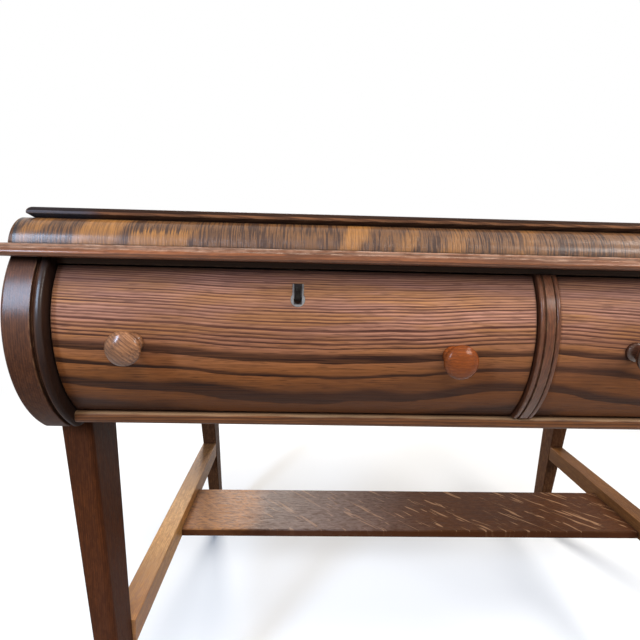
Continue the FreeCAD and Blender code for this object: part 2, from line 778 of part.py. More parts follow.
def make_drawer(name, opening):
    left = opening[0] + drawer_side_gap
    right = opening[1] - drawer_side_gap
    middle = (left + right) / 2
    inside_left = left + drawer_side_thickness
    inside_right = right - drawer_side_thickness
    z0 = drawer_front_bottom_z
    z1 = drawer_front_top_z
    knob_places = {
        "left": (left + knob_insets["left"], crown_z - knob_drops["left"]),
        "right": (right - knob_insets["right"], crown_z - knob_drops["right"]),
    }

    # Swelled front with its pocket for the lock, the keyhole and the screw holes
    solid_front = swell(0, left, right, z0, z1, drawer_back_y)
    behind_front = swell(-drawer_front_thickness, left, right, z0, z1, drawer_back_y)
    front = solid_front.cut(behind_front)
    end_edges = swell_edges(front, 0, left) + swell_edges(front, 0, right)
    front = front.makeFillet(drawer_front_edge_radius, end_edges)
    knobs = {side: make_knob(x, z, solid_front) for side, (x, z) in knob_places.items()}
    pocket_half = lock_width / 2 + lock_pocket_clearance
    front = front.cut(block(middle - pocket_half, middle + pocket_half, lock_y, drawer_back_y,
                            lock_bottom_z - lock_pocket_clearance, z1 + cut_overrun))
    liner = make_keyhole_liner(middle, left, right)
    front = front.cut(keyhole_prism(middle, liner_wall, drawer_length)).cut(liner)
    for x, z in knob_places.values():
        front = front.cut(rod(point(x, swell_y - knob_stand, z), to_back,
                              knob_screw_diameter + 2 * screw_clearance, drawer_length))
    for x, z in lock_screw_places(middle):
        hole_y = lock_y - lock_screw_reach - screw_clearance
        front = front.cut(rod(point(x, hole_y, z), to_back,
                              lock_screw_diameter + 2 * screw_clearance, lock_screw_reach + cut_overrun))
    parts[name + "_front"] = front

    # Sides follow the back of the front and are grooved for the bottom
    side_top_z = drawer_side_bottom_z + drawer_side_height
    bottom_top_z = drawer_bottom_z + drawer_bottom_thickness
    bottom = block(inside_left - drawer_groove_depth, inside_right + drawer_groove_depth,
                   swell_y, drawer_back_y, drawer_bottom_z, bottom_top_z).common(behind_front)
    for side, x in (("left", left), ("right", inside_right)):
        board = swell(-drawer_front_thickness, x, x + drawer_side_thickness, z0, side_top_z, drawer_back_y)
        shoe_y = swell_y + swell_setback(z0, -drawer_front_thickness)
        shoe = block(x, x + drawer_side_thickness, shoe_y, drawer_back_y, drawer_side_bottom_z, z0)
        parts[name + "_" + side + "_side"] = board.fuse(shoe).removeSplitter().cut(bottom)
    parts[name + "_bottom"] = bottom
    parts[name + "_back"] = block(inside_left, inside_right, drawer_back_y - drawer_back_thickness,
                                  drawer_back_y, bottom_top_z, side_top_z - drawer_back_drop)

    # Knobs, keyhole liner and lock
    for side, knob in knobs.items():
        parts[name + "_" + side + "_knob"] = knob
    knob_screws = [make_knob_screw(x, z) for x, z in knob_places.values()]
    parts[name + "_knob_screws"] = Part.makeCompound(knob_screws)
    parts[name + "_keyhole_liner"] = liner
    parts[name + "_lock_case"] = make_lock_case(middle)
    parts[name + "_lock_bolt"] = make_lock_bolt(middle)
    parts[name + "_lock_screws"] = make_lock_screws(middle)


make_top_board()
make_friezes()
make_glue_blocks()
make_bead_mouldings()
make_posts()
make_muntin()
make_legs()
make_panels_and_rails()
make_runners()
make_drawer_stops()
make_stretchers()
make_dowels()
for drawer_name, drawer_opening in zip(("left_drawer", "right_drawer"), drawer_openings()):
    make_drawer(drawer_name, drawer_opening)

os.makedirs("parts", exist_ok=True)
for part_name, part_shape in parts.items():
    part_shape.exportStep("parts/" + part_name + ".step")
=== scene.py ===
import math

import bmesh
import bpy
from mathutils import Matrix, Vector


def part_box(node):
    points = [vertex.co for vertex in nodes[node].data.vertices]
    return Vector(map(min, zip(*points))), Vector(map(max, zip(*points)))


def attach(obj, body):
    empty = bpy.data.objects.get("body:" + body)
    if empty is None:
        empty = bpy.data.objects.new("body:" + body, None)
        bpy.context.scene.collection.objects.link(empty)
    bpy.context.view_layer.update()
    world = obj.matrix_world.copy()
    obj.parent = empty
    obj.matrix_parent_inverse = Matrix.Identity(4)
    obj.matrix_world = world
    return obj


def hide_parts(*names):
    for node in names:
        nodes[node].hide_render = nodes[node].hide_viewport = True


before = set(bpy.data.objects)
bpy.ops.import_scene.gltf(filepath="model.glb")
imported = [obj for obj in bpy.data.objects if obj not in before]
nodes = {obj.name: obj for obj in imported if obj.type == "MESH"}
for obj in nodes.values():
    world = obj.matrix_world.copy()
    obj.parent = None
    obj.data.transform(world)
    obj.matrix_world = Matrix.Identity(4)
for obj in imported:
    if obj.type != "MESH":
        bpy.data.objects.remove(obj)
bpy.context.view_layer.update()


# Node trees

class Steps:
    """A node tree, built one step at a time."""

    def __init__(self, tree):
        self.tree = tree

    def node(self, kind, **settings):
        made = self.tree.nodes.new(kind)
        for key, value in settings.items():
            setattr(made, key, value)
        return made

    def feed(self, socket, value):
        """Link another node's output, or set a constant."""
        if isinstance(value, bpy.types.NodeSocket):
            self.tree.links.new(value, socket)
        else:
            socket.default_value = value

    def step(self, kind, inputs, **settings):
        """A node with its inputs fed, each given by its name or number."""
        made = self.node(kind, **settings)
        for key, value in inputs.items():
            self.feed(made.inputs[key], value)
        return made

    def math(self, operation, first, second=0.0, clamp=False):
        made = self.step("ShaderNodeMath", {0: first, 1: second}, operation=operation, use_clamp=clamp)
        return made.outputs[0]

    def times(self, first, second):
        return self.math("MULTIPLY", first, second)

    def plus(self, first, second):
        return self.math("ADD", first, second)

    def minus(self, first, second):
        return self.math("SUBTRACT", first, second)

    def axes(self, vector):
        return tuple(self.step("ShaderNodeSeparateXYZ", {0: vector}).outputs)

    def vector(self, x, y, z):
        return self.step("ShaderNodeCombineXYZ", {0: x, 1: y, 2: z}).outputs[0]

    def scaled(self, parts, sizes):
        """Three parts as one vector, each multiplied by its own size."""
        return self.vector(*(self.times(part, size) for part, size in zip(parts, sizes)))

    def seen(self):
        """1 where the camera looks, also by way of a mirror or glass, and 0 for all other light."""
        path = self.node("ShaderNodeLightPath").outputs
        either = self.math("MAXIMUM", path["Is Camera Ray"], path["Is Glossy Ray"])
        return self.math("MAXIMUM", either, path["Is Transmission Ray"])

    def mix_shaders(self, factor, first, second):
        return self.step("ShaderNodeMixShader", {0: factor, 1: first, 2: second}).outputs[0]


finishes = {}


class Finish(Steps):
    """A material kept in finishes by its name, with the object's own coordinates as its place."""

    def __init__(self, name):
        self.material = bpy.data.materials.new(name)
        finishes[name] = self.material
        self.material.use_nodes = True
        super().__init__(self.material.node_tree)
        self.tree.nodes.clear()
        self.output = self.node("ShaderNodeOutputMaterial")
        self.shader = self.node("ShaderNodeBsdfPrincipled")
        self.feed(self.output.inputs["Surface"], self.shader.outputs["BSDF"])
        self.place = self.node("ShaderNodeTexCoord").outputs["Object"]

    def shade(self, sockets):
        for name, value in sockets.items():
            self.feed(self.shader.inputs[name], value)

    def stretch(self, vector, scale, turn=(0.0, 0.0, 0.0)):
        made = self.step("ShaderNodeMapping", {"Vector": vector, "Scale": scale, "Rotation": turn})
        return made.outputs[0]

    def noise(self, vector, detail=2.0, roughness=0.5, distortion=0.0):
        made = self.step("ShaderNodeTexNoise", {"Vector": vector, "Scale": 1.0, "Detail": detail,
                                                "Roughness": roughness, "Distortion": distortion})
        return made.outputs["Fac"]

    def lottery(self, number):
        """A chance level from 0 to 1 that belongs to a whole number."""
        made = self.step("ShaderNodeTexWhiteNoise", {"W": number}, noise_dimensions="1D")
        return made.outputs["Value"]

    def ramp(self, factor, stops):
        """A grey ramp through (place, level) stops."""
        made = self.step("ShaderNodeValToRGB", {0: factor})
        elements = made.color_ramp.elements
        while len(elements) < len(stops):
            elements.new(0.5)
        for element, (place, level) in zip(elements, stops):
            element.position = place
            element.color = (level, level, level, 1.0)
        return made.outputs["Color"]

    def mix(self, factor, first, second):
        return self.step("ShaderNodeMix", {0: factor, 6: first, 7: second}, data_type="RGBA").outputs[2]

    def spread(self, value, start, end):
        """A soft step from 0 at the start to 1 at the end."""
        made = self.step("ShaderNodeMapRange", {"Value": value, "From Min": start, "From Max": end},
                         interpolation_type="SMOOTHSTEP")
        return made.outputs[0]

    def edges(self, radius):
        """Rounded normal at the edges and how far it turns from the face."""
        rounded = self.step("ShaderNodeBevel", {"Radius": radius}, samples=4).outputs[0]
        face = self.node("ShaderNodeNewGeometry").outputs["Normal"]
        dot = self.step("ShaderNodeVectorMath", {0: rounded, 1: face}, operation="DOT_PRODUCT")
        return rounded, self.minus(1.0, dot.outputs["Value"])

    def chipped_edges(self, chip_scale, chip_stops):
        """Rounded normal at the edges and where they are chipped."""
        rounded, turned = self.edges(WOOD_EDGE_RADIUS)
        edge = self.ramp(turned, [(0.02, 0.0), (0.2, 1.0)])
        chip = self.noise(self.stretch(self.place, (chip_scale,) * 3), detail=3.0)
        return rounded, self.times(edge, self.ramp(chip, chip_stops))

    def crevices(self, reach):
        """How closed-in a place is, from 0 in the open to 1 in a corner."""
        made = self.step("ShaderNodeAmbientOcclusion", {"Distance": reach}, samples=4)
        return self.minus(1.0, made.outputs["AO"])

    def darkened_in_corners(self, wood, reach, strength):
        """Wood darkened in its corners and gaps by ambient occlusion: partly soiling, partly painted shade.
        """
        closed = self.ramp(self.crevices(reach), [(0.25, 0.0), (0.8, 1.0)])
        return self.mix(self.times(closed, strength), wood, BLACK_AND_SHADE)

    def bump(self, height, depth, strength, normal):
        made = self.step("ShaderNodeBump", {"Height": height, "Distance": depth, "Strength": strength,
                                            "Normal": normal})
        return made.outputs[0]


def colour(red, green, blue):
    return (red, green, blue, 1.0)


def times_colour(factor, base):
    return tuple(factor * c for c in base[:3]) + (1.0,)


# Near black: painted shade in corners, gaps, beside the post beads and in the keyhole slots, and the real
# black of the top's front edge and the frieze's ends
BLACK_AND_SHADE = colour(0.01, 0.006, 0.005)
AMBER = colour(1.0, 0.74, 0.52)
CLEAR = colour(1.0, 0.95, 0.93)
UNSCALED = (1.0, 1.0, 1.0)
WOOD_EDGE_RADIUS = 0.0022
WOOD_BUMP_DEPTH = 0.0005
WOOD_BUMP_STRENGTH = 0.35


# Oak

GRAIN_ORDER = {"X": (0, 1, 2), "Y": (1, 0, 2), "Z": (2, 0, 1)}

# About how often a pattern repeats in a metre: along the grain, then twice across it
RING_WAVES = (11.0, 45.0, 45.0)
FIBRES = (14.0, 620.0, 620.0)
PORES = (55.0, 1400.0, 1400.0)
PATCHES = (5.0, 14.0, 14.0)
SPECKLES = (75.0, 210.0, 210.0)

# About how often a pattern repeats in a metre: along X, Y and Z, for the flecks after their turn
FLECKS = (13.0, 125.0, 13.0)
BLOTS = (22.0, 22.0, 22.0)

# The same along the grain, and how far apart neighbouring rings are drawn
SEASONS = (4.0, 3.7)
BREAKS = (9.0, 3.7)

# The same along the grain and upwards
GILDING = (6.0, 50.0)

# Glued boards: most shift along the grain in metres, range of the heart lines in board widths, most tone
BOARD_SHIFT = 0.9
BOARD_HEART_RANGE = 1.4
BOARD_TONE = 0.35

# Growth rings: gain of the heart line's drift, its second draw, and how the pace of the rings changes
DRIFT_GAIN = 4.0
DRIFT_DETAIL = 1.5
SECOND_DRIFT_SEED = 7.3
SECOND_DRIFT_PLACE = 3.1
PACE_CHANGES = 0.45
PACE_PLACE = 5.0
PACE_RANGE = 1.3

# One ring from its pale start to its dark end: share of its width, darkness
RING_PROFILE = [(0.0, 0.0), (0.34, 0.05), (0.64, 0.72), (0.95, 1.0), (1.0, 0.0)]
THIN_RING_POWER = 3.0
LEAST_DARKNESS = 0.8
LESS_IN_FINE_RINGS = 0.45

BROWNER = 0.6
CHIPS = 90.0
# Reach of the ambient occlusion that darkens corners and gaps: soiling and painted shade
GRIME_AND_SHADE_REACH = 0.018
FIBRE_GLOSS = 0.25
CHIP_ROUGHNESS = 0.12
FIBRE_HEIGHT = 0.5
PORE_DEPTH = 0.6
LATE_WOOD_DEPTH = 0.25


def browner(wood_colour):
    return times_colour(BROWNER, wood_colour)


def glued_boards(f, along, side, board_width):
    """Boards side by side: each has its own heart line and a tone by lot."""
    board = f.math("FLOOR", f.times(side, 1.0 / board_width))
    tone = f.lottery(board)
    along = f.plus(along, f.times(tone, BOARD_SHIFT))
    off_middle = f.times(f.minus(tone, 0.5), BOARD_HEART_RANGE)
    heart_side = f.times(f.plus(board, f.plus(off_middle, 0.5)), board_width)
    return along, f.minus(side, heart_side), tone


def growth_rings(f, along, side, up, heart, ring_width, broad, bow, wander, wander_length, ripple, seed):
    """Rings counted from a wandering heart line, and how fine they are: past a radius they are broad."""
    slow = f.times(along, 1.0 / wander_length)
    first = f.vector(slow, seed, 0.0)
    second = f.vector(slow, seed + SECOND_DRIFT_SEED, SECOND_DRIFT_PLACE)
    drift_side = f.minus(f.noise(first, DRIFT_DETAIL), 0.5)
    drift_up = f.minus(f.noise(second, DRIFT_DETAIL), 0.5)
    from_side = f.plus(f.minus(side, heart[0]), f.times(drift_side, DRIFT_GAIN * wander))
    from_up = f.plus(f.minus(up, heart[1]), f.times(drift_up, DRIFT_GAIN * wander))
    radius = f.math("SQRT", f.plus(f.times(from_side, from_side), f.times(from_up, from_up)))
    if bow:
        bow_middle, bow_strength = bow
        from_middle = f.minus(along, bow_middle)
        radius = f.plus(radius, f.times(f.times(from_middle, from_middle), bow_strength))
    uneven = f.minus(f.noise(f.scaled((along, side, up), RING_WAVES), detail=3.0), 0.5)
    count = f.plus(f.times(radius, 1.0 / ring_width), f.times(uneven, ripple))
    fineness = 0.0
    if broad:
        broad_radius, broad_width = broad
        past = f.math("MAXIMUM", f.minus(radius, broad_radius), 0.0)
        count = f.plus(count, f.times(past, 1.0 / broad_width - 1.0 / ring_width))
        fineness = f.spread(radius, broad_radius + broad_width, broad_radius - broad_width)
    pace = f.noise(f.vector(f.times(count, PACE_CHANGES), seed, PACE_PLACE))
    return f.plus(count, f.times(pace, PACE_RANGE)), fineness


def dark_lines(f, along, count, fineness, broad, ring_strength, fine_strength, seed):
    """The dark side of each ring: no two alike in width or darkness, fine ones broken along their length."""
    ring = f.math("FLOOR", count)
    growth = f.math("FRACT", count)
    if broad:
        seasons = f.noise(f.vector(f.times(along, SEASONS[0]), f.times(ring, SEASONS[1]), seed))
        thinness = f.times(f.ramp(seasons, [(0.34, 1.0), (0.53, 0.0)]), f.minus(1.0, fineness))
        growth = f.math("POWER", growth, f.plus(f.times(thinness, THIN_RING_POWER), 1.0))
    band = f.ramp(growth, RING_PROFILE)
    least = f.minus(LEAST_DARKNESS, f.times(fineness, LESS_IN_FINE_RINGS))
    level = f.plus(f.times(f.lottery(ring), f.minus(1.0, least)), least)
    break_place = f.vector(f.times(along, BREAKS[0]), f.times(ring, BREAKS[1]), 0.0)
    breaks = f.noise(break_place, detail=3.0, roughness=0.6)
    gaps = f.times(f.ramp(breaks, [(0.32, 0.45), (0.55, 0.0)]), fineness)
    strength = f.minus(ring_strength, f.times(fineness, ring_strength - fine_strength))
    return f.math("MULTIPLY", f.times(band, level), f.times(f.minus(1.0, gaps), strength), clamp=True)


def with_stains_and_painted_light(f, wood, stains_and_painted_light, speckle):
    """Colours that grow from a start to an end along one axis, some of them only within a part of another:
    real stain marks, and painted light and shade on some pieces.
    """
    blot = f.minus(f.noise(f.stretch(f.place, BLOTS), detail=3.0), 0.5)
    axes = f.axes(f.place)
    for axis, start, end, ragged, stain_and_light_colour, strength, *within in stains_and_painted_light:
        edge_place = f.plus(axes[axis], f.times(blot, ragged))
        amount = f.times(f.spread(edge_place, start, end), strength)
        if speckle is not None and ragged:
            amount = f.times(amount, f.ramp(speckle, [(0.36, 0.25), (0.58, 1.0)]))
        for other_axis, other_start, other_end in within:
            amount = f.times(amount, f.spread(axes[other_axis], other_start, other_end))
        wood = f.mix(amount, wood, stain_and_light_colour)
    return wood


def oak(name, grain, heart, ring_width, pale, dark, broad=None, bow=None, wander=0.003, wander_length=0.3,
        ripple=0.8, ring_strength=1.0, fine_strength=1.0, fine_dark=None, painted_sheen_above=None, pore_strength=0.5,
        patch_strength=0.5, patch_colour=colour(0.05, 0.02, 0.012), wear=0.5,
        wear_colour=colour(0.36, 0.2, 0.1), grime_and_shade=0.8, roughness=0.38, shine=0.12, varnish=0.06,
        varnish_above=None, varnish_roughness=0.16, sheen=AMBER, mottle=0.0, board_width=None, flecks=None,
        stains_and_painted_light=(), turn=0.0, seed=0.0):
    """Stained oak: growth rings, fibres, pores, patches, ray flecks, stain marks, worn edges, soiling, and
    painted light and shade.
    """
    f = Finish(name)
    place = f.stretch(f.place, UNSCALED, (0.0, turn, 0.0)) if turn else f.place
    axes = f.axes(place)
    along, side, up = (axes[i] for i in GRAIN_ORDER[grain])
    board_tone = None
    if board_width:
        along, side, board_tone = glued_boards(f, along, side, board_width)
    in_grain = (along, side, up)
    count, fineness = growth_rings(f, along, side, up, heart, ring_width, broad, bow, wander, wander_length,
                                   ripple, seed)
    late_wood = dark_lines(f, along, count, fineness, broad, ring_strength, fine_strength, seed)
    fibre = f.noise(f.scaled(in_grain, FIBRES), roughness=0.6)
    pores = f.ramp(f.noise(f.scaled(in_grain, PORES), detail=1.0), [(0.56, 0.0), (0.66, 1.0)])

    # Colour
    fibre_share = f.ramp(fibre, [(0.3, 0.0), (0.7, 1.0)])
    wood = f.mix(fibre_share, browner(pale), pale)
    z = f.axes(f.place)[2]
    # Painted sheen and light: above a height the wood turns paler, rose with gold patches
    if painted_sheen_above:
        start, end, sheen_pale, sheen_gold = painted_sheen_above
        gilt_place = f.vector(f.times(along, GILDING[0]), f.times(up, GILDING[1]), seed)
        gilt = f.ramp(f.noise(gilt_place, detail=3.0, roughness=0.6), [(0.42, 0.0), (0.6, 1.0)])
        sheened_wood = f.mix(gilt, f.mix(fibre_share, browner(sheen_pale), sheen_pale),
                           f.mix(fibre_share, browner(sheen_gold), sheen_gold))
        wood = f.mix(f.spread(z, start, end), wood, sheened_wood)
    streaks = f.ramp(fibre, [(0.35, 0.7), (0.6, 1.0)])
    line_colour = f.mix(fineness, dark, fine_dark) if fine_dark else dark
    wood = f.mix(f.times(late_wood, streaks), wood, line_colour)
    wood = f.mix(f.times(pores, pore_strength), wood, dark)
    patch = f.ramp(f.noise(f.scaled(in_grain, PATCHES), detail=3.0), [(0.38, 0.0), (0.72, 1.0)])
    wood = f.mix(f.times(patch, patch_strength), wood, patch_colour)
    if board_tone is not None:
        wood = f.mix(f.times(board_tone, BOARD_TONE), wood, patch_colour)
    speckle = None
    if mottle:
        speckle = f.noise(f.scaled(in_grain, SPECKLES), detail=3.0, roughness=0.65, distortion=0.6)
        wood = f.mix(f.times(f.ramp(speckle, [(0.42, 1.0), (0.6, 0.0)]), mottle), wood, dark)
    if flecks:
        fleck_turn, fleck_colour, fleck_strength = flecks
        slanted = f.stretch(f.place, UNSCALED, (0.0, 0.0, fleck_turn))
        strokes = f.noise(f.stretch(slanted, FLECKS), distortion=1.1)
        fleck = f.ramp(strokes, [(0.61, 0.0), (0.66, 1.0)])
        wood = f.mix(f.times(fleck, fleck_strength), wood, fleck_colour)
    wood = with_stains_and_painted_light(f, wood, stains_and_painted_light, speckle)

    # Edges in their own colour, worn on most pieces and painted shade on the front legs; corners and gaps
    # darkened by ambient occlusion, partly soiling and partly painted shade
    rounded, chipped = f.chipped_edges(CHIPS, [(0.42, 0.0), (0.62, 1.0)])
    wood = f.mix(f.times(chipped, wear), wood, wear_colour)
    wood = f.darkened_in_corners(wood, GRIME_AND_SHADE_REACH, grime_and_shade)

    gloss = f.plus(f.times(f.minus(fibre, 0.5), FIBRE_GLOSS), roughness)
    gloss = f.plus(gloss, f.times(chipped, CHIP_ROUGHNESS))
    coat = f.times(f.spread(z, *varnish_above), varnish) if varnish_above else varnish
    height = f.minus(f.times(fibre, FIBRE_HEIGHT), f.times(pores, PORE_DEPTH))
    height = f.minus(height, f.times(late_wood, LATE_WOOD_DEPTH))
    f.shade({"Base Color": wood, "Roughness": gloss, "Specular IOR Level": shine, "Specular Tint": sheen,
             "Coat Weight": coat, "Coat Tint": sheen, "Coat Roughness": varnish_roughness,
             "Normal": f.bump(height, WOOD_BUMP_DEPTH, WOOD_BUMP_STRENGTH, rounded)})


# Golden flames in the frieze veneer: from, to, share of the height, strength
FRIEZE_FLAMES = [
    (-0.469, -0.453, 1.0, 0.7), (-0.418, -0.383, 1.0, 0.85), (-0.372, -0.313, 0.55, 1.0),
    (-0.176, -0.153, 1.0, 1.0), (-0.122, -0.104, 0.85, 0.6), (-0.076, -0.058, 0.9, 0.55),
    (-0.007, 0.005, 1.0, 0.5), (0.12, 0.165, 0.6, 0.9), (0.235, 0.262, 1.0, 0.7), (0.35, 0.41, 0.7, 0.9)]
FLAME_SIDE_BLUR = 0.004
FLAME_TOP_BLUR = 0.002

# About how often a pattern repeats in a metre: along X, Y and Z
FINE_TICKS = (1250.0, 60.0, 60.0)
COARSE_TICKS = (760.0, 32.0, 42.0)
FRIEZE_CLOUDS = (7.0, 30.0, 30.0)
FRIEZE_CHIPS = 120.0

# The same along X and Z
TICK_STRETCHES = (13.0, 20.0)

TICK_CROWDING = 0.1
FINE_TICK_STRENGTH = 0.5
COARSE_TICK_STRENGTH = 0.95
TICK_ROUGHNESS = 0.15
FLAME_LEAN = -0.6
FLAME_WAVER = 0.03
FLAME_COMB = 0.02
FEWER_TICKS_IN_FLAMES = 0.55
CLOUD_COLOUR = colour(0.06, 0.028, 0.016)
CLOUD_STRENGTH = 0.4
END_CAP_WIDTH = 0.003
END_CAP_BLUR = 0.0005
END_CAP_STRENGTH = 0.85
CHIP_COLOUR = colour(0.45, 0.3, 0.18)
CHIP_STRENGTH = 0.5
# Ambient occlusion darkening in the frieze's corners: soiling and painted shade
FRIEZE_GRIME_AND_SHADE = 0.8
FRIEZE_GRIME_AND_SHADE_REACH = 0.014


def cross_grained_frieze(name, low, high, pale, gold, dark):
    """Quarter-sawn veneer laid upright: close upright ticks, with golden flames that lean to the right."""
    f = Finish(name)
    x, y, z = f.axes(f.place)
    fine = f.noise(f.scaled((x, y, z), FINE_TICKS), roughness=0.6)
    fine_tick = f.ramp(fine, [(0.4, 0.0), (0.64, 1.0)])
    coarse = f.noise(f.scaled((x, y, z), COARSE_TICKS), detail=2.5, roughness=0.6)
    stretch_place = f.vector(f.times(x, TICK_STRETCHES[0]), f.times(z, TICK_STRETCHES[1]), 0.0)
    stretches = f.noise(stretch_place, detail=3.0, roughness=0.6)
    crowd = f.ramp(stretches, [(0.34, 0.0), (0.64, 1.0)])
    dense = f.plus(coarse, f.times(f.minus(crowd, 0.5), TICK_CROWDING))
    coarse_tick = f.ramp(dense, [(0.465, 0.0), (0.55, 1.0)])
    tick = f.math("MAXIMUM", f.times(fine_tick, FINE_TICK_STRENGTH),
                  f.times(coarse_tick, COARSE_TICK_STRENGTH))

    # Flames, their edges combed by the ticks
    lean = f.times(f.minus(z, (low.z + high.z) / 2), FLAME_LEAN)
    across = f.plus(f.plus(x, lean), f.times(f.minus(stretches, 0.5), FLAME_WAVER))
    rise = f.plus(z, f.times(f.minus(coarse, 0.5), FLAME_COMB))
    flames = 0.0
    for start, end, share, strength in FRIEZE_FLAMES:
        inside = f.times(f.spread(across, start - FLAME_SIDE_BLUR, start + FLAME_SIDE_BLUR),
                         f.spread(across, end + FLAME_SIDE_BLUR, end - FLAME_SIDE_BLUR))
        if share < 1.0:
            top = low.z + share * (high.z - low.z)
            inside = f.times(inside, f.spread(rise, top + FLAME_TOP_BLUR, top - FLAME_TOP_BLUR))
        flames = f.math("MAXIMUM", f.times(inside, strength), flames)

    wood = f.mix(flames, pale, gold)
    quiet = f.minus(1.0, f.times(flames, FEWER_TICKS_IN_FLAMES))
    wood = f.mix(f.times(tick, quiet), wood, dark)
    cloud = f.ramp(f.noise(f.stretch(f.place, FRIEZE_CLOUDS), detail=3.0), [(0.4, 0.0), (0.75, 1.0)])
    wood = f.mix(f.times(cloud, CLOUD_STRENGTH), wood, CLOUD_COLOUR)
    end_cap_x = high.x - END_CAP_WIDTH
    end_cap = f.spread(f.math("ABSOLUTE", x), end_cap_x - END_CAP_BLUR, end_cap_x + END_CAP_BLUR)
    wood = f.mix(f.times(end_cap, END_CAP_STRENGTH), wood, BLACK_AND_SHADE)
    rounded, chipped = f.chipped_edges(FRIEZE_CHIPS, [(0.45, 0.0), (0.6, 1.0)])
    wood = f.mix(f.times(chipped, CHIP_STRENGTH), wood, CHIP_COLOUR)
    wood = f.darkened_in_corners(wood, FRIEZE_GRIME_AND_SHADE_REACH, FRIEZE_GRIME_AND_SHADE)
    height = f.times(tick, -1.0)
    f.shade({"Base Color": wood, "Roughness": f.plus(f.times(tick, TICK_ROUGHNESS), 0.3),
             "Specular IOR Level": 0.3, "Specular Tint": CLEAR, "Coat Weight": 0.3, "Coat Roughness": 0.23,
             "Normal": f.bump(height, WOOD_BUMP_DEPTH, WOOD_BUMP_STRENGTH, rounded)})


# Metal

# About how often a pattern repeats in a metre: along X, Y and Z
METAL_PATCHES = (60.0, 60.0, 60.0)
METAL_SCRATCHES = (300.0, 300.0, 2400.0)

METAL_EDGE_RADIUS = 0.0008
METAL_EDGE_STRENGTH = 0.5
METAL_EDGE_BRIGHTNESS = 1.3
METAL_DIRT = colour(0.02, 0.015, 0.012)
METAL_DIRT_REACH = 0.004
METAL_DIRT_STRENGTH = 0.7
METAL_BUMP_DEPTH = 0.0002
METAL_BUMP_STRENGTH = 0.3
METALLIC = 0.9
TARNISH_ROUGHNESS = 0.2
SLOT_BLUR = 0.0008
SLOT_SHADE_STRENGTH = 0.9


def metal(name, bright, tarnish, roughness, shaded_slot=None):
    """Old metal: tarnish in patches, scratches, brighter edges, and a keyhole's slot painted near-black as
    shade.
    """
    f = Finish(name)
    blotch = f.noise(f.stretch(f.place, METAL_PATCHES), detail=5.0, roughness=0.65)
    dull = f.ramp(blotch, [(0.35, 0.0), (0.65, 1.0)])
    worn = f.mix(dull, bright, tarnish)
    rounded, turned = f.edges(METAL_EDGE_RADIUS)
    edge = f.ramp(turned, [(0.03, 0.0), (0.25, 1.0)])
    worn = f.mix(f.times(edge, METAL_EDGE_STRENGTH), worn, times_colour(METAL_EDGE_BRIGHTNESS, bright))
    closed = f.ramp(f.crevices(METAL_DIRT_REACH), [(0.3, 0.0), (0.9, 1.0)])
    worn = f.mix(f.times(closed, METAL_DIRT_STRENGTH), worn, METAL_DIRT)
    # Painted shade: the keyhole's slot turns near-black
    if shaded_slot:
        slot_x, slot_half, slot_foot = shaded_slot
        x, _, z = f.axes(f.place)
        off = f.math("ABSOLUTE", f.minus(x, slot_x))
        slot_shade = f.times(f.spread(off, slot_half, slot_half - SLOT_BLUR),
                       f.spread(z, slot_foot - SLOT_BLUR, slot_foot + SLOT_BLUR / 2))
        worn = f.mix(f.times(slot_shade, SLOT_SHADE_STRENGTH), worn, BLACK_AND_SHADE)
    scratch = f.noise(f.stretch(f.place, METAL_SCRATCHES))
    f.shade({"Base Color": worn, "Metallic": METALLIC,
             "Roughness": f.plus(f.times(dull, TARNISH_ROUGHNESS), roughness),
             "Normal": f.bump(scratch, METAL_BUMP_DEPTH, METAL_BUMP_STRENGTH, rounded)})


# Materials for the desk's pieces

swell_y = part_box("left_drawer_front")[0].y
top_low, top_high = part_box("top_board")
fillet_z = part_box("front_bead_moulding")[1].z - 0.004
rail_low, rail_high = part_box("front_bottom_rail")
shelf_top_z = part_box("stretcher_shelf")[1].z

DRAWER_PALE = colour(0.3, 0.1, 0.029)
DRAWER_DARK = colour(0.014, 0.006, 0.004)
# Painted sheen on the drawers' upper part, rose and gold
DRAWER_ROSE_SHEEN = colour(0.45, 0.22, 0.15)
DRAWER_GOLD_SHEEN = colour(0.45, 0.205, 0.085)
CASE_PALE = colour(0.115, 0.042, 0.018)
CASE_DARK = colour(0.02, 0.008, 0.006)
LEG_PALE = colour(0.1, 0.029, 0.009)
LEG_DARK = colour(0.03, 0.01, 0.005)
INNER_PALE = colour(0.34, 0.2, 0.105)
INNER_DARK = colour(0.14, 0.07, 0.035)
# Worn colours, also used for pale lines that are partly painted highlight
WORN_GOLD_AND_HIGHLIGHT = colour(0.5, 0.3, 0.15)
WORN_GREY_AND_HIGHLIGHT = colour(0.5, 0.36, 0.27)
# Black of the top's left end, its grey-blue a painted sheen
BLACK_WITH_BLUE_SHEEN = colour(0.055, 0.055, 0.066)

POST_BEAD_X = 0.452
POST_BEAD_BLUR = 0.002
SLOT_HALF_WIDTH = 0.0042
SLOT_FOOT_HEIGHT = 0.0024

# Axes of the stain marks and of the painted light and shade
X, Y, Z = 0, 1, 2


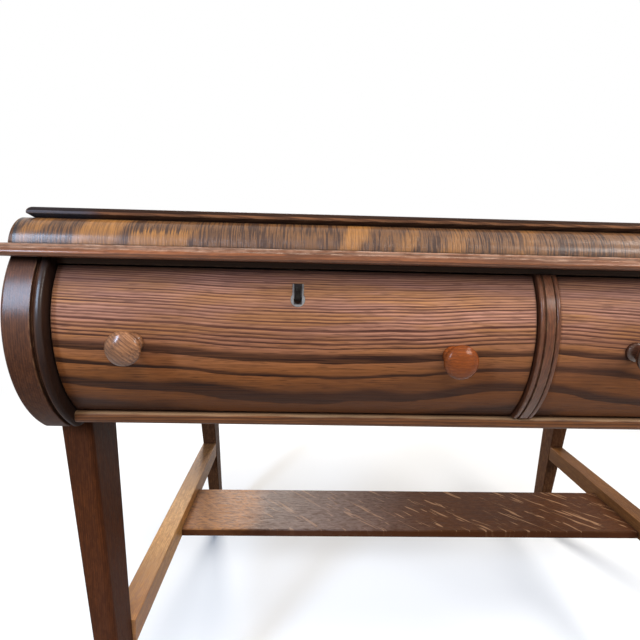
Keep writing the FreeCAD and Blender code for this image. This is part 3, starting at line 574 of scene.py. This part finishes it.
def drawer_oak(name, bow_middle, seed):
    """Front sawn from the solid: fine lines above, broad bands below, where the swell follows the rings;
    painted sheen above, painted shadow under the moulding, painted shade low down.
    """
    oak(name, "X", (swell_y + 0.176, 0.714), 0.0014, DRAWER_PALE, DRAWER_DARK, broad=(0.1925, 0.0044),
        bow=(bow_middle, 0.065), wander=0.0011, wander_length=0.14, ripple=0.5, seed=seed,
        patch_strength=0.45, patch_colour=colour(0.1, 0.042, 0.024), ring_strength=1.9,
        fine_strength=2.0, fine_dark=colour(0.055, 0.019, 0.014),
        painted_sheen_above=(0.6, 0.69, DRAWER_ROSE_SHEEN, DRAWER_GOLD_SHEEN), roughness=0.42, shine=0.06, varnish=0.0,
        # Painted shadow in the strip under the moulding, and painted shade that gets darker towards the
        # bottom
        sheen=CLEAR, stains_and_painted_light=[(Z, 0.675, 0.712, 0.004, colour(0.06, 0.024, 0.017), 0.75),
                             (Z, 0.625, 0.56, 0.004, colour(0.05, 0.018, 0.009), 0.4)])


def post_oak(name, side):
    """Dark post, varnished above, with painted shade on the bead's side beside the drawer."""
    # Painted shade: the bead's side towards the drawer goes near-black
    bead_x = side * POST_BEAD_X
    blur = side * POST_BEAD_BLUR
    oak(name, "Z", (0.2, swell_y + 0.1), 0.0022, CASE_PALE, CASE_DARK, ring_strength=0.5,
        roughness=0.5, shine=0.04, varnish=0.5, varnish_above=(0.61, 0.665), varnish_roughness=0.28,
        sheen=CLEAR, mottle=0.35, stains_and_painted_light=[(X, bead_x + blur, bead_x - blur, 0.0, BLACK_AND_SHADE, 0.85)])


def panel_oak(name, side):
    """End panel, its heart line inside it and sloping, so that the rings show as long arches."""
    oak(name, "Y", (side * 0.4, 0.64), 0.0032, colour(0.19, 0.08, 0.038), colour(0.045, 0.02, 0.012),
        bow=(-0.8, 0.05), wander=0.002, wander_length=0.4, ripple=0.5, seed=side)


def leg_oak(name, pale, **more):
    oak(name, "Z", (0.6, 0.2), 0.0022, pale, LEG_DARK, ring_strength=0.5, wander=0.004, shine=0.05,
        varnish=0.0, roughness=0.55, mottle=0.5, **more)


def knob_oak(name, ring_width, pale, dark, **more):
    oak(name, "X", (swell_y, -2.0), ring_width, pale, dark, wear=0.2, grime_and_shade=0.3, **more)


def inner_wood(name, grain, heart):
    oak(name, grain, heart, 0.004, INNER_PALE, INNER_DARK, ring_strength=0.6, varnish=0.0,
        roughness=0.6)


def liner_metal(side):
    """Keyhole liner: a thin bright rim round a slot painted dark as shade."""
    low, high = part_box(side + "_drawer_keyhole_liner")
    metal(side + "_liner_metal", colour(0.27, 0.255, 0.24), colour(0.1, 0.088, 0.08), 0.38,
          ((low.x + high.x) / 2, SLOT_HALF_WIDTH, low.z + SLOT_FOOT_HEIGHT))


drawer_oak("left_drawer_oak", -0.2, 1.0)
drawer_oak("right_drawer_oak", 0.26, 4.0)
cross_grained_frieze("frieze_oak", *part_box("front_frieze"), colour(0.145, 0.063, 0.022),
                     colour(0.3, 0.126, 0.03), colour(0.027, 0.012, 0.007))
oak("side_frieze_oak", "Y", (0.3, 0.5), 0.0019, colour(0.13, 0.06, 0.03), colour(0.03, 0.014, 0.01))
# Moulding: a pale line along the fillet, partly worn and partly painted highlight
oak("moulding_oak", "X", (swell_y + 0.1, 0.6), 0.0024, colour(0.25, 0.09, 0.037),
    colour(0.04, 0.016, 0.01), wear=0.95, wear_colour=WORN_GREY_AND_HIGHLIGHT, shine=0.25, varnish=0.3, mottle=0.25,
    stains_and_painted_light=[(Z, fillet_z - 0.001, fillet_z + 0.001, 0.009, WORN_GREY_AND_HIGHLIGHT, 0.25)])
oak("side_moulding_oak", "Y", (0.35, 0.6), 0.0024, colour(0.24, 0.1, 0.045), colour(0.045, 0.02, 0.013),
    wear=0.8)
oak("top_oak", "X", (0.0, 0.66), 0.0032, colour(0.2, 0.085, 0.038), colour(0.05, 0.022, 0.013),
    bow=(-1.1, 0.045), wander=0.002, wander_length=0.4, ripple=0.5, seed=2.0, wear=0.7, roughness=0.55,
    shine=0.03, varnish=0.03, varnish_roughness=0.3, board_width=0.158,
    # Black at the left end of the front, its grey-blue partly painted sheen; a black line along the front
    # edge
    stains_and_painted_light=[(X, top_low.x + 0.075, top_low.x + 0.045, 0.03, BLACK_WITH_BLUE_SHEEN, 0.9,
             (Y, top_low.y + 0.06, top_low.y + 0.004)),
            (Z, top_high.z - 0.004, top_high.z - 0.003, 0.002, BLACK_AND_SHADE, 0.85,
             (Y, top_low.y + 0.008, top_low.y + 0.005))])
post_oak("left_post_oak", -1.0)
post_oak("right_post_oak", 1.0)
oak("muntin_oak", "Z", (0.2, swell_y + 0.1), 0.0022, colour(0.17, 0.06, 0.027), CASE_DARK,
    ring_strength=0.5, shine=0.2, varnish=0.3, roughness=0.36, mottle=0.3, grime_and_shade=0.45)
# Front top rail: near-black, painted shade under the moulding
oak("top_rail_oak", "X", (swell_y + 0.1, 0.5), 0.0024, colour(0.05, 0.02, 0.013),
    colour(0.02, 0.009, 0.007), grime_and_shade=0.5)
# Bottom rail: a pale line on its top front edge, partly worn and partly painted highlight
oak("rail_oak", "X", (swell_y + 0.1, 0.5), 0.0024, colour(0.19, 0.07, 0.025),
    colour(0.035, 0.015, 0.009), wear=0.95, wear_colour=WORN_GOLD_AND_HIGHLIGHT,
    stains_and_painted_light=[(Z, rail_high.z - 0.0035, rail_high.z - 0.0015, 0.003, WORN_GOLD_AND_HIGHLIGHT, 0.45,
             (Y, rail_low.y + 0.005, rail_low.y + 0.002))])
panel_oak("left_panel_oak", -1.0)
panel_oak("right_panel_oak", 1.0)
# Front legs: the dark edge colour is painted shade along their rounded corners
leg_oak("front_leg_oak", LEG_PALE, wear=0.75, wear_colour=colour(0.022, 0.008, 0.005))
leg_oak("back_leg_oak", colour(0.2, 0.085, 0.036))
# Left stretcher: a lit copy of the right one, its pale gold a painted pool of sunlight that fades to darker
# wood towards both ends
oak("left_stretcher_oak", "Y", (0.5, 0.15), 0.0022, colour(0.95, 0.49, 0.16), colour(0.36, 0.14, 0.045),
    ring_strength=0.4, shine=0.16, varnish=0.0, mottle=0.45, roughness=0.45, patch_strength=0.2,
    stains_and_painted_light=[(Y, 0.06, 0.26, 0.05, colour(0.2, 0.08, 0.035), 0.85),
            (Y, -0.05, -0.2, 0.05, colour(0.28, 0.13, 0.075), 0.8)])
oak("right_stretcher_oak", "Y", (0.5, 0.15), 0.0022, colour(0.33, 0.14, 0.045), colour(0.08, 0.03, 0.011),
    ring_strength=0.6, shine=0.05, varnish=0.0, mottle=0.3)
# Shelf: a painted grey sheen over its middle and left, painted golden sunlight at its left end, and the faces
# below its top surface darker
oak("shelf_oak", "X", (0.3, 0.1), 0.0024, colour(0.15, 0.052, 0.018), colour(0.05, 0.018, 0.008),
    ring_strength=0.35, shine=0.05, varnish=0.0, wear=0.2, mottle=0.5,
    flecks=(math.radians(45), colour(0.42, 0.22, 0.11), 0.85),
    stains_and_painted_light=[(X, 0.06, -0.16, 0.05, colour(0.28, 0.2, 0.17), 0.6),
            (X, -0.27, -0.33, 0.06, colour(0.5, 0.2, 0.055), 0.8),
            (Z, shelf_top_z - 0.001, shelf_top_z - 0.0025, 0.0, colour(0.065, 0.019, 0.006), 0.9)])
knob_oak("left_knob_oak", 0.0031, colour(0.32, 0.14, 0.06), colour(0.07, 0.029, 0.014),
         turn=math.radians(-40), ripple=1.6, ring_strength=0.75, pore_strength=0.8, varnish=0.4,
         varnish_roughness=0.14, sheen=CLEAR, mottle=0.45, patch_strength=0.2)
knob_oak("knob_oak", 0.0028, colour(0.24, 0.056, 0.009), colour(0.085, 0.02, 0.005), roughness=0.22,
         shine=0.1, varnish=0.2, ring_strength=0.5, ripple=1.4, mottle=0.3, patch_strength=0.2)
knob_oak("dark_knob_oak", 0.0022, colour(0.035, 0.016, 0.012), colour(0.012, 0.006, 0.005),
         roughness=0.22, shine=0.3, varnish=0.5)
inner_wood("inner_wood_x", "X", (0.1, 0.4))
inner_wood("inner_wood_y", "Y", (0.7, 0.5))
oak("back_oak", "X", (0.1, 0.4), 0.004, colour(0.2, 0.1, 0.05), colour(0.06, 0.028, 0.016),
    ring_strength=0.7, varnish=0.0, roughness=0.55)
liner_metal("left")
liner_metal("right")
metal("lock_iron", colour(0.3, 0.28, 0.26), colour(0.07, 0.05, 0.04), 0.42)
metal("screw_steel", colour(0.5, 0.48, 0.45), colour(0.14, 0.11, 0.09), 0.32)

finish_of = {
    "top_board": "top_oak", "front_frieze": "frieze_oak", "back_frieze": "back_oak",
    "glue_blocks": "inner_wood_x", "front_bead_moulding": "moulding_oak", "muntin": "muntin_oak",
    "back_panel": "back_oak", "back_top_rail": "inner_wood_x", "back_bottom_rail": "inner_wood_x",
    "front_top_rail": "top_rail_oak", "front_bottom_rail": "rail_oak", "centre_runner": "inner_wood_y",
    "centre_kicker": "inner_wood_y", "drawer_stops": "inner_wood_x", "stretcher_shelf": "shelf_oak",
    "stretcher_dowels": "inner_wood_x",
}
for side in ("left", "right"):
    drawer = side + "_drawer_"
    finish_of.update({
        drawer + "front": side + "_drawer_oak", drawer + "left_side": "inner_wood_y",
        drawer + "right_side": "inner_wood_y", drawer + "bottom": "inner_wood_x",
        drawer + "back": "inner_wood_x", drawer + "left_knob": "knob_oak", drawer + "right_knob": "knob_oak",
        drawer + "knob_screws": "screw_steel", drawer + "keyhole_liner": side + "_liner_metal",
        drawer + "lock_case": "lock_iron", drawer + "lock_bolt": "lock_iron",
        drawer + "lock_screws": "screw_steel", side + "_side_frieze": "side_frieze_oak",
        side + "_bead_moulding": "side_moulding_oak", side + "_front_post": side + "_post_oak",
        side + "_front_leg": "front_leg_oak", side + "_back_leg": "back_leg_oak",
        side + "_end_panel": side + "_panel_oak", side + "_stretcher": side + "_stretcher_oak",
        side + "_runner": "inner_wood_y", side + "_guide": "inner_wood_y", side + "_kicker": "inner_wood_y",
    })
finish_of["left_drawer_left_knob"] = "left_knob_oak"
finish_of["right_drawer_left_knob"] = "dark_knob_oak"

for name, obj in nodes.items():
    obj.data.materials.clear()
    obj.data.materials.append(finishes[finish_of[name]])


# Pieces that follow a rule: turned knobs, slotted screws, dovetails

MERGE_DISTANCE = 0.00001


def add_object(name, data):
    obj = bpy.data.objects.new(name, data)
    bpy.context.scene.collection.objects.link(obj)
    return obj


class Shape(Steps):
    """Geometry steps with named sizes, baked into a plain mesh."""

    def __init__(self, name, sizes):
        super().__init__(bpy.data.node_groups.new(name, "GeometryNodeTree"))
        for size, kind in {**sizes, "Material": "Material"}.items():
            self.tree.interface.new_socket(name=size, in_out="INPUT", socket_type="NodeSocket" + kind)
        self.tree.interface.new_socket(name="Geometry", in_out="OUTPUT", socket_type="NodeSocketGeometry")
        self.size = self.node("NodeGroupInput").outputs

    def form(self, kind, inputs, **settings):
        return self.step(kind, inputs, **settings).outputs[0]

    def moved(self, geometry, **inputs):
        return self.form("GeometryNodeTransform", {"Geometry": geometry, **inputs})

    def reshaped(self, geometry, **inputs):
        return self.form("GeometryNodeSetPosition", {"Geometry": geometry, **inputs})

    def joined(self, *geometries):
        join = self.node("GeometryNodeJoinGeometry")
        for geometry in geometries:
            self.feed(join.inputs[0], geometry)
        return join.outputs[0]

    def row(self, count, first, last):
        """Points spaced evenly from a first place to a last."""
        return self.form("GeometryNodeMeshLine", {"Count": count, "Start Location": first, "Offset": last},
                         mode="END_POINTS")

    def position(self):
        return self.axes(self.node("GeometryNodeInputPosition").outputs[0])

    def close(self, geometry):
        whole = self.form("GeometryNodeRealizeInstances", {"Geometry": geometry})
        dressed = self.form("GeometryNodeSetMaterial", {"Geometry": whole, "Material": self.size["Material"]})
        self.step("NodeGroupOutput", {"Geometry": dressed})

    def bake(self, name, sizes, finish, body, slot, replaced=(), smooth=True):
        start = add_object(name + "_start", bpy.data.meshes.new(name + "_start"))
        modifier = start.modifiers.new("shape", "NODES")
        modifier.node_group = self.tree
        for item in self.tree.interface.items_tree:
            if item.in_out == "INPUT":
                modifier[item.identifier] = finish if item.name == "Material" else sizes[item.name]
        steps = bpy.context.evaluated_depsgraph_get()
        mesh = bpy.data.meshes.new_from_object(start.evaluated_get(steps), depsgraph=steps)
        bpy.data.objects.remove(start)
        mesh.name = name
        work = bmesh.new()
        work.from_mesh(mesh)
        bmesh.ops.remove_doubles(work, verts=work.verts, dist=MERGE_DISTANCE)
        bmesh.ops.recalc_face_normals(work, faces=work.faces)
        for face in work.faces:
            face.smooth = smooth
        work.to_mesh(mesh)
        work.free()
        piece = add_object(name, mesh)
        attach(piece, body)
        if replaced:
            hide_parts(*replaced)


# Knob outline from its back to its front: share of the length, share of the rim's radius
KNOB_OUTLINE = [
    (0.0, 0.0), (0.0, 0.594), (0.123, 0.594), (0.2, 0.46), (0.33, 0.39), (0.45, 0.45), (0.6, 0.74),
    (0.7, 0.92), (0.77, 0.99), (0.8, 1.0), (0.835, 0.985), (0.885, 0.9), (0.93, 0.73), (0.975, 0.42),
    (1.0, 0.0)]
KNOB_SHARP_POINTS = 3


def make_turned_knob_shape():
    """The outline turned round the knob's axis."""
    s = Shape("turned_knob", {"Back Middle": "Vector", "Length": "Float", "Rim Radius": "Float",
                              "Points Round": "Int", "Points Along": "Int"})
    grid = s.form("GeometryNodeMeshGrid", {"Size X": 1.0, "Size Y": 1.0, "Vertices X": s.size["Points Round"],
                                           "Vertices Y": s.size["Points Along"]})
    across, along, _ = s.position()
    angle = s.times(across, 2.0 * math.pi)
    share = s.plus(along, 0.5)
    outlines = []
    for column in (0, 1):
        curve = s.step("ShaderNodeFloatCurve", {"Value": share})
        points = curve.mapping.curves[0].points
        last = len(KNOB_OUTLINE) - 1
        points[0].location = (0.0, KNOB_OUTLINE[0][column])
        points[1].location = (1.0, KNOB_OUTLINE[last][column])
        for i in range(1, last):
            points.new(i / last, KNOB_OUTLINE[i][column])
        for i, point in enumerate(points):
            point.handle_type = "VECTOR" if i < KNOB_SHARP_POINTS else "AUTO_CLAMPED"
        curve.mapping.update()
        outlines.append(curve.outputs[0])
    height = s.times(outlines[0], s.size["Length"])
    radius = s.times(outlines[1], s.size["Rim Radius"])
    turned = s.vector(s.times(radius, s.math("COSINE", angle)), s.times(height, -1.0),
                      s.times(radius, s.math("SINE", angle)))
    placed = s.form("ShaderNodeVectorMath", {0: turned, 1: s.size["Back Middle"]}, operation="ADD")
    knob = s.reshaped(grid, Position=placed)
    s.close(s.form("GeometryNodeMergeByDistance", {"Geometry": knob, "Distance": MERGE_DISTANCE}))
    return s


SCREW_HEAD_SEGMENTS = 32
SCREW_HEAD_RINGS = 16
SCREW_SHANK_SIDES = 20
FIRST_SCREW_SPIN = 0.4
NEXT_SCREW_SPIN = 1.1


def make_slotted_screws_shape():
    """Two round-headed screws with a slot, their shanks towards the front."""
    s = Shape("slotted_screws", {"First Seat": "Vector", "Second Seat": "Vector", "Head Radius": "Float",
                                 "Head Height": "Float", "Slot Width": "Float", "Slot Depth": "Float",
                                 "Shank Radius": "Float", "Shank Length": "Float"})
    ball = s.form("GeometryNodeMeshUVSphere", {"Segments": SCREW_HEAD_SEGMENTS, "Rings": SCREW_HEAD_RINGS,
                                               "Radius": 1.0})
    head_size = s.vector(s.size["Head Radius"], s.size["Head Height"], s.size["Head Radius"])
    head = s.moved(ball, Scale=head_size)
    slot_size = s.vector(s.times(s.size["Head Radius"], 3.0), s.times(s.size["Slot Depth"], 2.0),
                         s.size["Slot Width"])
    slot = s.form("GeometryNodeMeshCube", {"Size": slot_size})
    slot = s.moved(slot, Translation=s.vector(0.0, s.size["Head Height"], 0.0))
    cut = s.form("GeometryNodeMeshBoolean", {"Mesh 1": head, "Mesh 2": slot}, operation="DIFFERENCE")
    shank = s.form("GeometryNodeMeshCylinder", {"Vertices": SCREW_SHANK_SIDES,
                                                "Radius": s.size["Shank Radius"],
                                                "Depth": s.size["Shank Length"]})
    half_back = s.times(s.size["Shank Length"], -0.5)
    shank = s.moved(shank, Rotation=(math.pi / 2, 0.0, 0.0), Translation=s.vector(0.0, half_back, 0.0))
    screw = s.joined(cut, shank)
    seats = s.row(2, s.size["First Seat"], s.size["Second Seat"])
    index = s.node("GeometryNodeInputIndex").outputs[0]
    spin = s.vector(0.0, s.plus(s.times(index, NEXT_SCREW_SPIN), FIRST_SCREW_SPIN), 0.0)
    s.close(s.form("GeometryNodeInstanceOnPoints", {"Points": seats, "Instance": screw, "Rotation": spin}))
    return s


def make_dovetails_shape():
    """A row of tails up each end of a drawer front, set back along its swell."""
    s = Shape("dovetails", {"Lowest": "Vector", "Highest": "Vector", "Count": "Int", "Other End": "Float",
                            "Tail Length": "Float", "Root Width": "Float", "Tip Width": "Float",
                            "Thickness": "Float", "Crown Height": "Float", "Upper Radius": "Float",
                            "Lower Radius": "Float"})
    block_size = s.vector(s.size["Thickness"], s.size["Tail Length"], 1.0)
    block = s.form("GeometryNodeMeshCube", {"Size": block_size, "Vertices Y": 3, "Vertices Z": 9})
    x, y, z = s.position()
    tip_share = s.minus(0.5, s.math("DIVIDE", y, s.size["Tail Length"]))
    flare = s.minus(s.size["Tip Width"], s.size["Root Width"])
    width = s.plus(s.size["Root Width"], s.times(flare, tip_share))
    tail = s.reshaped(block, Position=s.vector(x, y, s.times(z, width)))
    row = s.row(s.size["Count"], s.size["Lowest"], s.size["Highest"])
    far_row = s.moved(row, Translation=s.vector(s.size["Other End"], 0.0, 0.0))
    rows = s.joined(row, far_row)
    tails = s.form("GeometryNodeInstanceOnPoints", {"Points": rows, "Instance": tail})
    tails = s.form("GeometryNodeRealizeInstances", {"Geometry": tails})
    level = s.position()[2]
    rise = s.minus(level, s.size["Crown Height"])
    above = s.math("GREATER_THAN", rise, 0.0)
    radius_step = s.minus(s.size["Upper Radius"], s.size["Lower Radius"])
    radius = s.plus(s.size["Lower Radius"], s.times(above, radius_step))
    square = s.minus(s.times(radius, radius), s.times(rise, rise))
    setback = s.vector(0.0, s.minus(radius, s.math("SQRT", square)), 0.0)
    s.close(s.reshaped(tails, Offset=setback))
    return s


def middle(node):
    low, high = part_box(node)
    return (low + high) / 2


def back_of(node, x, reach):
    """How far back a node comes, within a reach of a place along X."""
    return max(v.co.y for v in nodes[node].data.vertices if abs(v.co.x - x) < reach)


turned_knob = make_turned_knob_shape()
slotted_screws = make_slotted_screws_shape()
dovetails = make_dovetails_shape()

KNOB_POINTS_ROUND = 65
KNOB_POINTS_ALONG = 66
KNOB_SCREW_HEAD_HEIGHT = 0.003
LOCK_SCREW_HEAD_HEIGHT = 0.0015
SLOT_WIDTH_SHARE = 0.3
FRONT_THICKNESS = 0.022
SWELL_CROWN_Z = 0.65
SWELL_UPPER_RADIUS = 0.095
SWELL_LOWER_RADIUS = 0.124
TAIL_COUNT = 4
TAIL_LENGTH = 0.015
TAIL_ROOT_WIDTH = 0.018
TAIL_TIP_WIDTH = 0.025
TAIL_THICKNESS = 0.0003
TAIL_MARGIN = 0.016


def bake_screws(drawer, kind, seats, head_radius, head_height, slot_share, shank_share):
    """A drawer's knob screws or lock screws: slot as a share of the head's height, shank of its radius."""
    screws = f"{drawer}_{kind}_screws"
    slotted_screws.bake(f"{drawer}_slotted_{kind}_screws", {
        "First Seat": seats[0],
        "Second Seat": seats[1],
        "Head Radius": head_radius,
        "Head Height": head_height,
        "Slot Width": head_radius * SLOT_WIDTH_SHARE,
        "Slot Depth": head_height * slot_share,
        "Shank Radius": head_radius * shank_share,
        "Shank Length": min(seat.y for seat in seats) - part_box(screws)[0].y,
    }, finishes["screw_steel"], drawer, "screw_steel", [screws], smooth=False)


for drawer in ("left_drawer", "right_drawer"):
    knobs = [f"{drawer}_{hand}_knob" for hand in ("left", "right")]
    for knob, hand in zip(knobs, ("left", "right")):
        low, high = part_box(knob)
        turned_knob.bake(f"{drawer}_{hand}_turned_knob", {
            "Back Middle": (middle(knob).x, high.y, middle(knob).z),
            "Length": high.y - low.y,
            "Rim Radius": (high.x - low.x) / 2,
            "Points Round": KNOB_POINTS_ROUND,
            "Points Along": KNOB_POINTS_ALONG,
        }, finishes[finish_of[knob]], drawer, "knob_oak", [knob])

    screws = drawer + "_knob_screws"
    head_radius = middle(knobs[0]).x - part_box(screws)[0].x
    seats = []
    for knob in knobs:
        axis = middle(knob)
        seat_y = back_of(screws, axis.x, head_radius * 2) - KNOB_SCREW_HEAD_HEIGHT
        seats.append(Vector((axis.x, seat_y, axis.z)))
    bake_screws(drawer, "knob", seats, head_radius, KNOB_SCREW_HEAD_HEIGHT, slot_share=0.45, shank_share=0.44)

    screws = drawer + "_lock_screws"
    low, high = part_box(screws)
    head_radius = (high.z - low.z) / 2
    seat_y = high.y - LOCK_SCREW_HEAD_HEIGHT
    seats = [Vector((x, seat_y, middle(screws).z)) for x in (low.x + head_radius, high.x - head_radius)]
    bake_screws(drawer, "lock", seats, head_radius, LOCK_SCREW_HEAD_HEIGHT, slot_share=0.5, shank_share=0.5)

    front_low, front_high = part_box(drawer + "_front")
    side_low, side_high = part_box(drawer + "_left_side")
    tail_y = swell_y + FRONT_THICKNESS - TAIL_LENGTH / 2
    dovetails.bake(drawer + "_dovetails", {
        "Lowest": (front_low.x, tail_y, side_low.z + TAIL_MARGIN),
        "Highest": (front_low.x, tail_y, side_high.z - TAIL_MARGIN),
        "Count": TAIL_COUNT,
        "Other End": front_high.x - front_low.x,
        "Tail Length": TAIL_LENGTH,
        "Root Width": TAIL_ROOT_WIDTH,
        "Tip Width": TAIL_TIP_WIDTH,
        "Thickness": TAIL_THICKNESS,
        "Crown Height": SWELL_CROWN_Z,
        "Upper Radius": SWELL_UPPER_RADIUS - FRONT_THICKNESS,
        "Lower Radius": SWELL_LOWER_RADIUS - FRONT_THICKNESS,
    }, finishes["inner_wood_y"], drawer, "inner_wood", smooth=False)


# Floor, light and camera

FLOOR_PALE = colour(0.93, 0.93, 0.93)
FLOOR_SHADE = colour(0.11, 0.1, 0.09)
FLOOR_HALF = 8.0
FLOOR_NEAR = 0.8
FLOOR_FAR = 2.2
ROOM_TINT = colour(1.0, 0.98, 0.96)
ROOM_STRENGTH = 0.15
CAMERA_PLACE = Vector((-0.2086, swell_y - 0.44425, 0.7331))
CAMERA_PITCH = 0.156
CAMERA_YAW = 0.031
CAMERA_ROLL = 0.025
CAMERA_SENSOR = 36.0
CAMERA_LENS = 26.95
CAMERA_CLIP = 0.02


def make_floor():
    """Pale paper near the desk, running out into the plain white of the background."""
    mesh = bpy.data.meshes.new("floor")
    corners = [(x * FLOOR_HALF, y * FLOOR_HALF, 0) for x, y in ((-1, -1), (1, -1), (1, 1), (-1, 1))]
    mesh.from_pydata(corners, [], [(0, 1, 2, 3)])
    floor = add_object("floor", mesh)
    paper = Finish("floor_paper")
    seen = paper.seen()
    paper.shade({"Base Color": paper.mix(seen, FLOOR_SHADE, FLOOR_PALE), "Roughness": 0.9,
                 "Specular IOR Level": 0.0})
    white = paper.node("ShaderNodeEmission")
    distance = paper.step("ShaderNodeVectorMath", {0: paper.place}, operation="LENGTH").outputs["Value"]
    far = paper.times(paper.spread(distance, FLOOR_NEAR, FLOOR_FAR), seen)
    both = paper.mix_shaders(far, paper.shader.outputs[0], white.outputs[0])
    paper.feed(paper.output.inputs["Surface"], both)
    mesh.materials.append(paper.material)


def make_world():
    """Plain white where the camera looks, a dim room for all other light."""
    world = bpy.data.worlds.new("studio")
    bpy.context.scene.world = world
    world.use_nodes = True
    sky = Steps(world.node_tree)
    sky.tree.nodes.clear()
    white = sky.step("ShaderNodeBackground", {"Color": colour(1.0, 1.0, 1.0), "Strength": 1.0})
    room = sky.step("ShaderNodeBackground", {"Color": ROOM_TINT, "Strength": ROOM_STRENGTH})
    choice = sky.mix_shaders(sky.seen(), room.outputs[0], white.outputs[0])
    sky.step("ShaderNodeOutputWorld", {"Surface": choice})


def make_lamp(name, place, aim, size, power, tint, mirrored=True):
    lamp = bpy.data.lights.new(name, "AREA")
    lamp.shape = "RECTANGLE"
    lamp.size, lamp.size_y = size
    lamp.energy = power
    lamp.color = tint
    obj = add_object(name, lamp)
    obj.location = place
    obj.visible_camera = False
    obj.visible_glossy = mirrored
    obj.rotation_euler = (Vector(aim) - Vector(place)).to_track_quat("-Z", "Y").to_euler()


def make_camera():
    """The photograph's own place: close in front of the left drawer, looking slightly down."""
    level_right = Vector((math.cos(CAMERA_YAW), -math.sin(CAMERA_YAW), 0.0))
    level_ahead = Vector((math.sin(CAMERA_YAW), math.cos(CAMERA_YAW), 0.0))
    straight_up = Vector((0.0, 0.0, 1.0))
    ahead = level_ahead * math.cos(CAMERA_PITCH) - straight_up * math.sin(CAMERA_PITCH)
    up = straight_up * math.cos(CAMERA_PITCH) + level_ahead * math.sin(CAMERA_PITCH)
    right = level_right * math.cos(CAMERA_ROLL) + up * math.sin(CAMERA_ROLL)
    up = up * math.cos(CAMERA_ROLL) - level_right * math.sin(CAMERA_ROLL)
    lens = bpy.data.cameras.new("camera")
    lens.sensor_width = CAMERA_SENSOR
    lens.lens = CAMERA_LENS
    lens.clip_start = CAMERA_CLIP
    camera = add_object("camera", lens)
    turn = Matrix((right, up, -ahead)).transposed().to_4x4()
    camera.matrix_world = Matrix.Translation(CAMERA_PLACE) @ turn
    bpy.context.scene.camera = camera


make_floor()
make_world()
make_lamp("window", (-1.55, -2.0, 1.5), (-0.35, -0.3, 0.67), (0.3, 1.0), power=46.0, tint=(0.56, 0.73, 1.0))
make_lamp("front_window", (0.0, -2.3, 1.95), (0.0, -0.36, 0.66), (1.1, 1.2), power=34.0,
          tint=(0.86, 0.91, 1.0), mirrored=False)
make_lamp("right_window", (1.45, -1.9, 1.75), (0.1, -0.3, 0.68), (0.8, 0.5), power=24.0,
          tint=(1.0, 0.98, 0.96))
make_lamp("ceiling", (0.2, -1.25, 2.6), (0.0, -0.2, 0.6), (1.8, 0.8), power=44.0, tint=(1.0, 0.94, 0.86),
          mirrored=False)
make_lamp("roof_window", (1.6, -0.75, 2.4), (0.2, -0.35, 0.74), (1.0, 0.5), power=16.0,
          tint=(1.0, 0.99, 0.97))
make_lamp("back_window", (-0.6, 2.4, 1.6), (-0.3, 0.1, 0.2), (0.9, 0.9), power=70.0, tint=(1.0, 0.97, 0.93))
make_camera()

bpy.context.scene.view_settings.view_transform = "Standard"
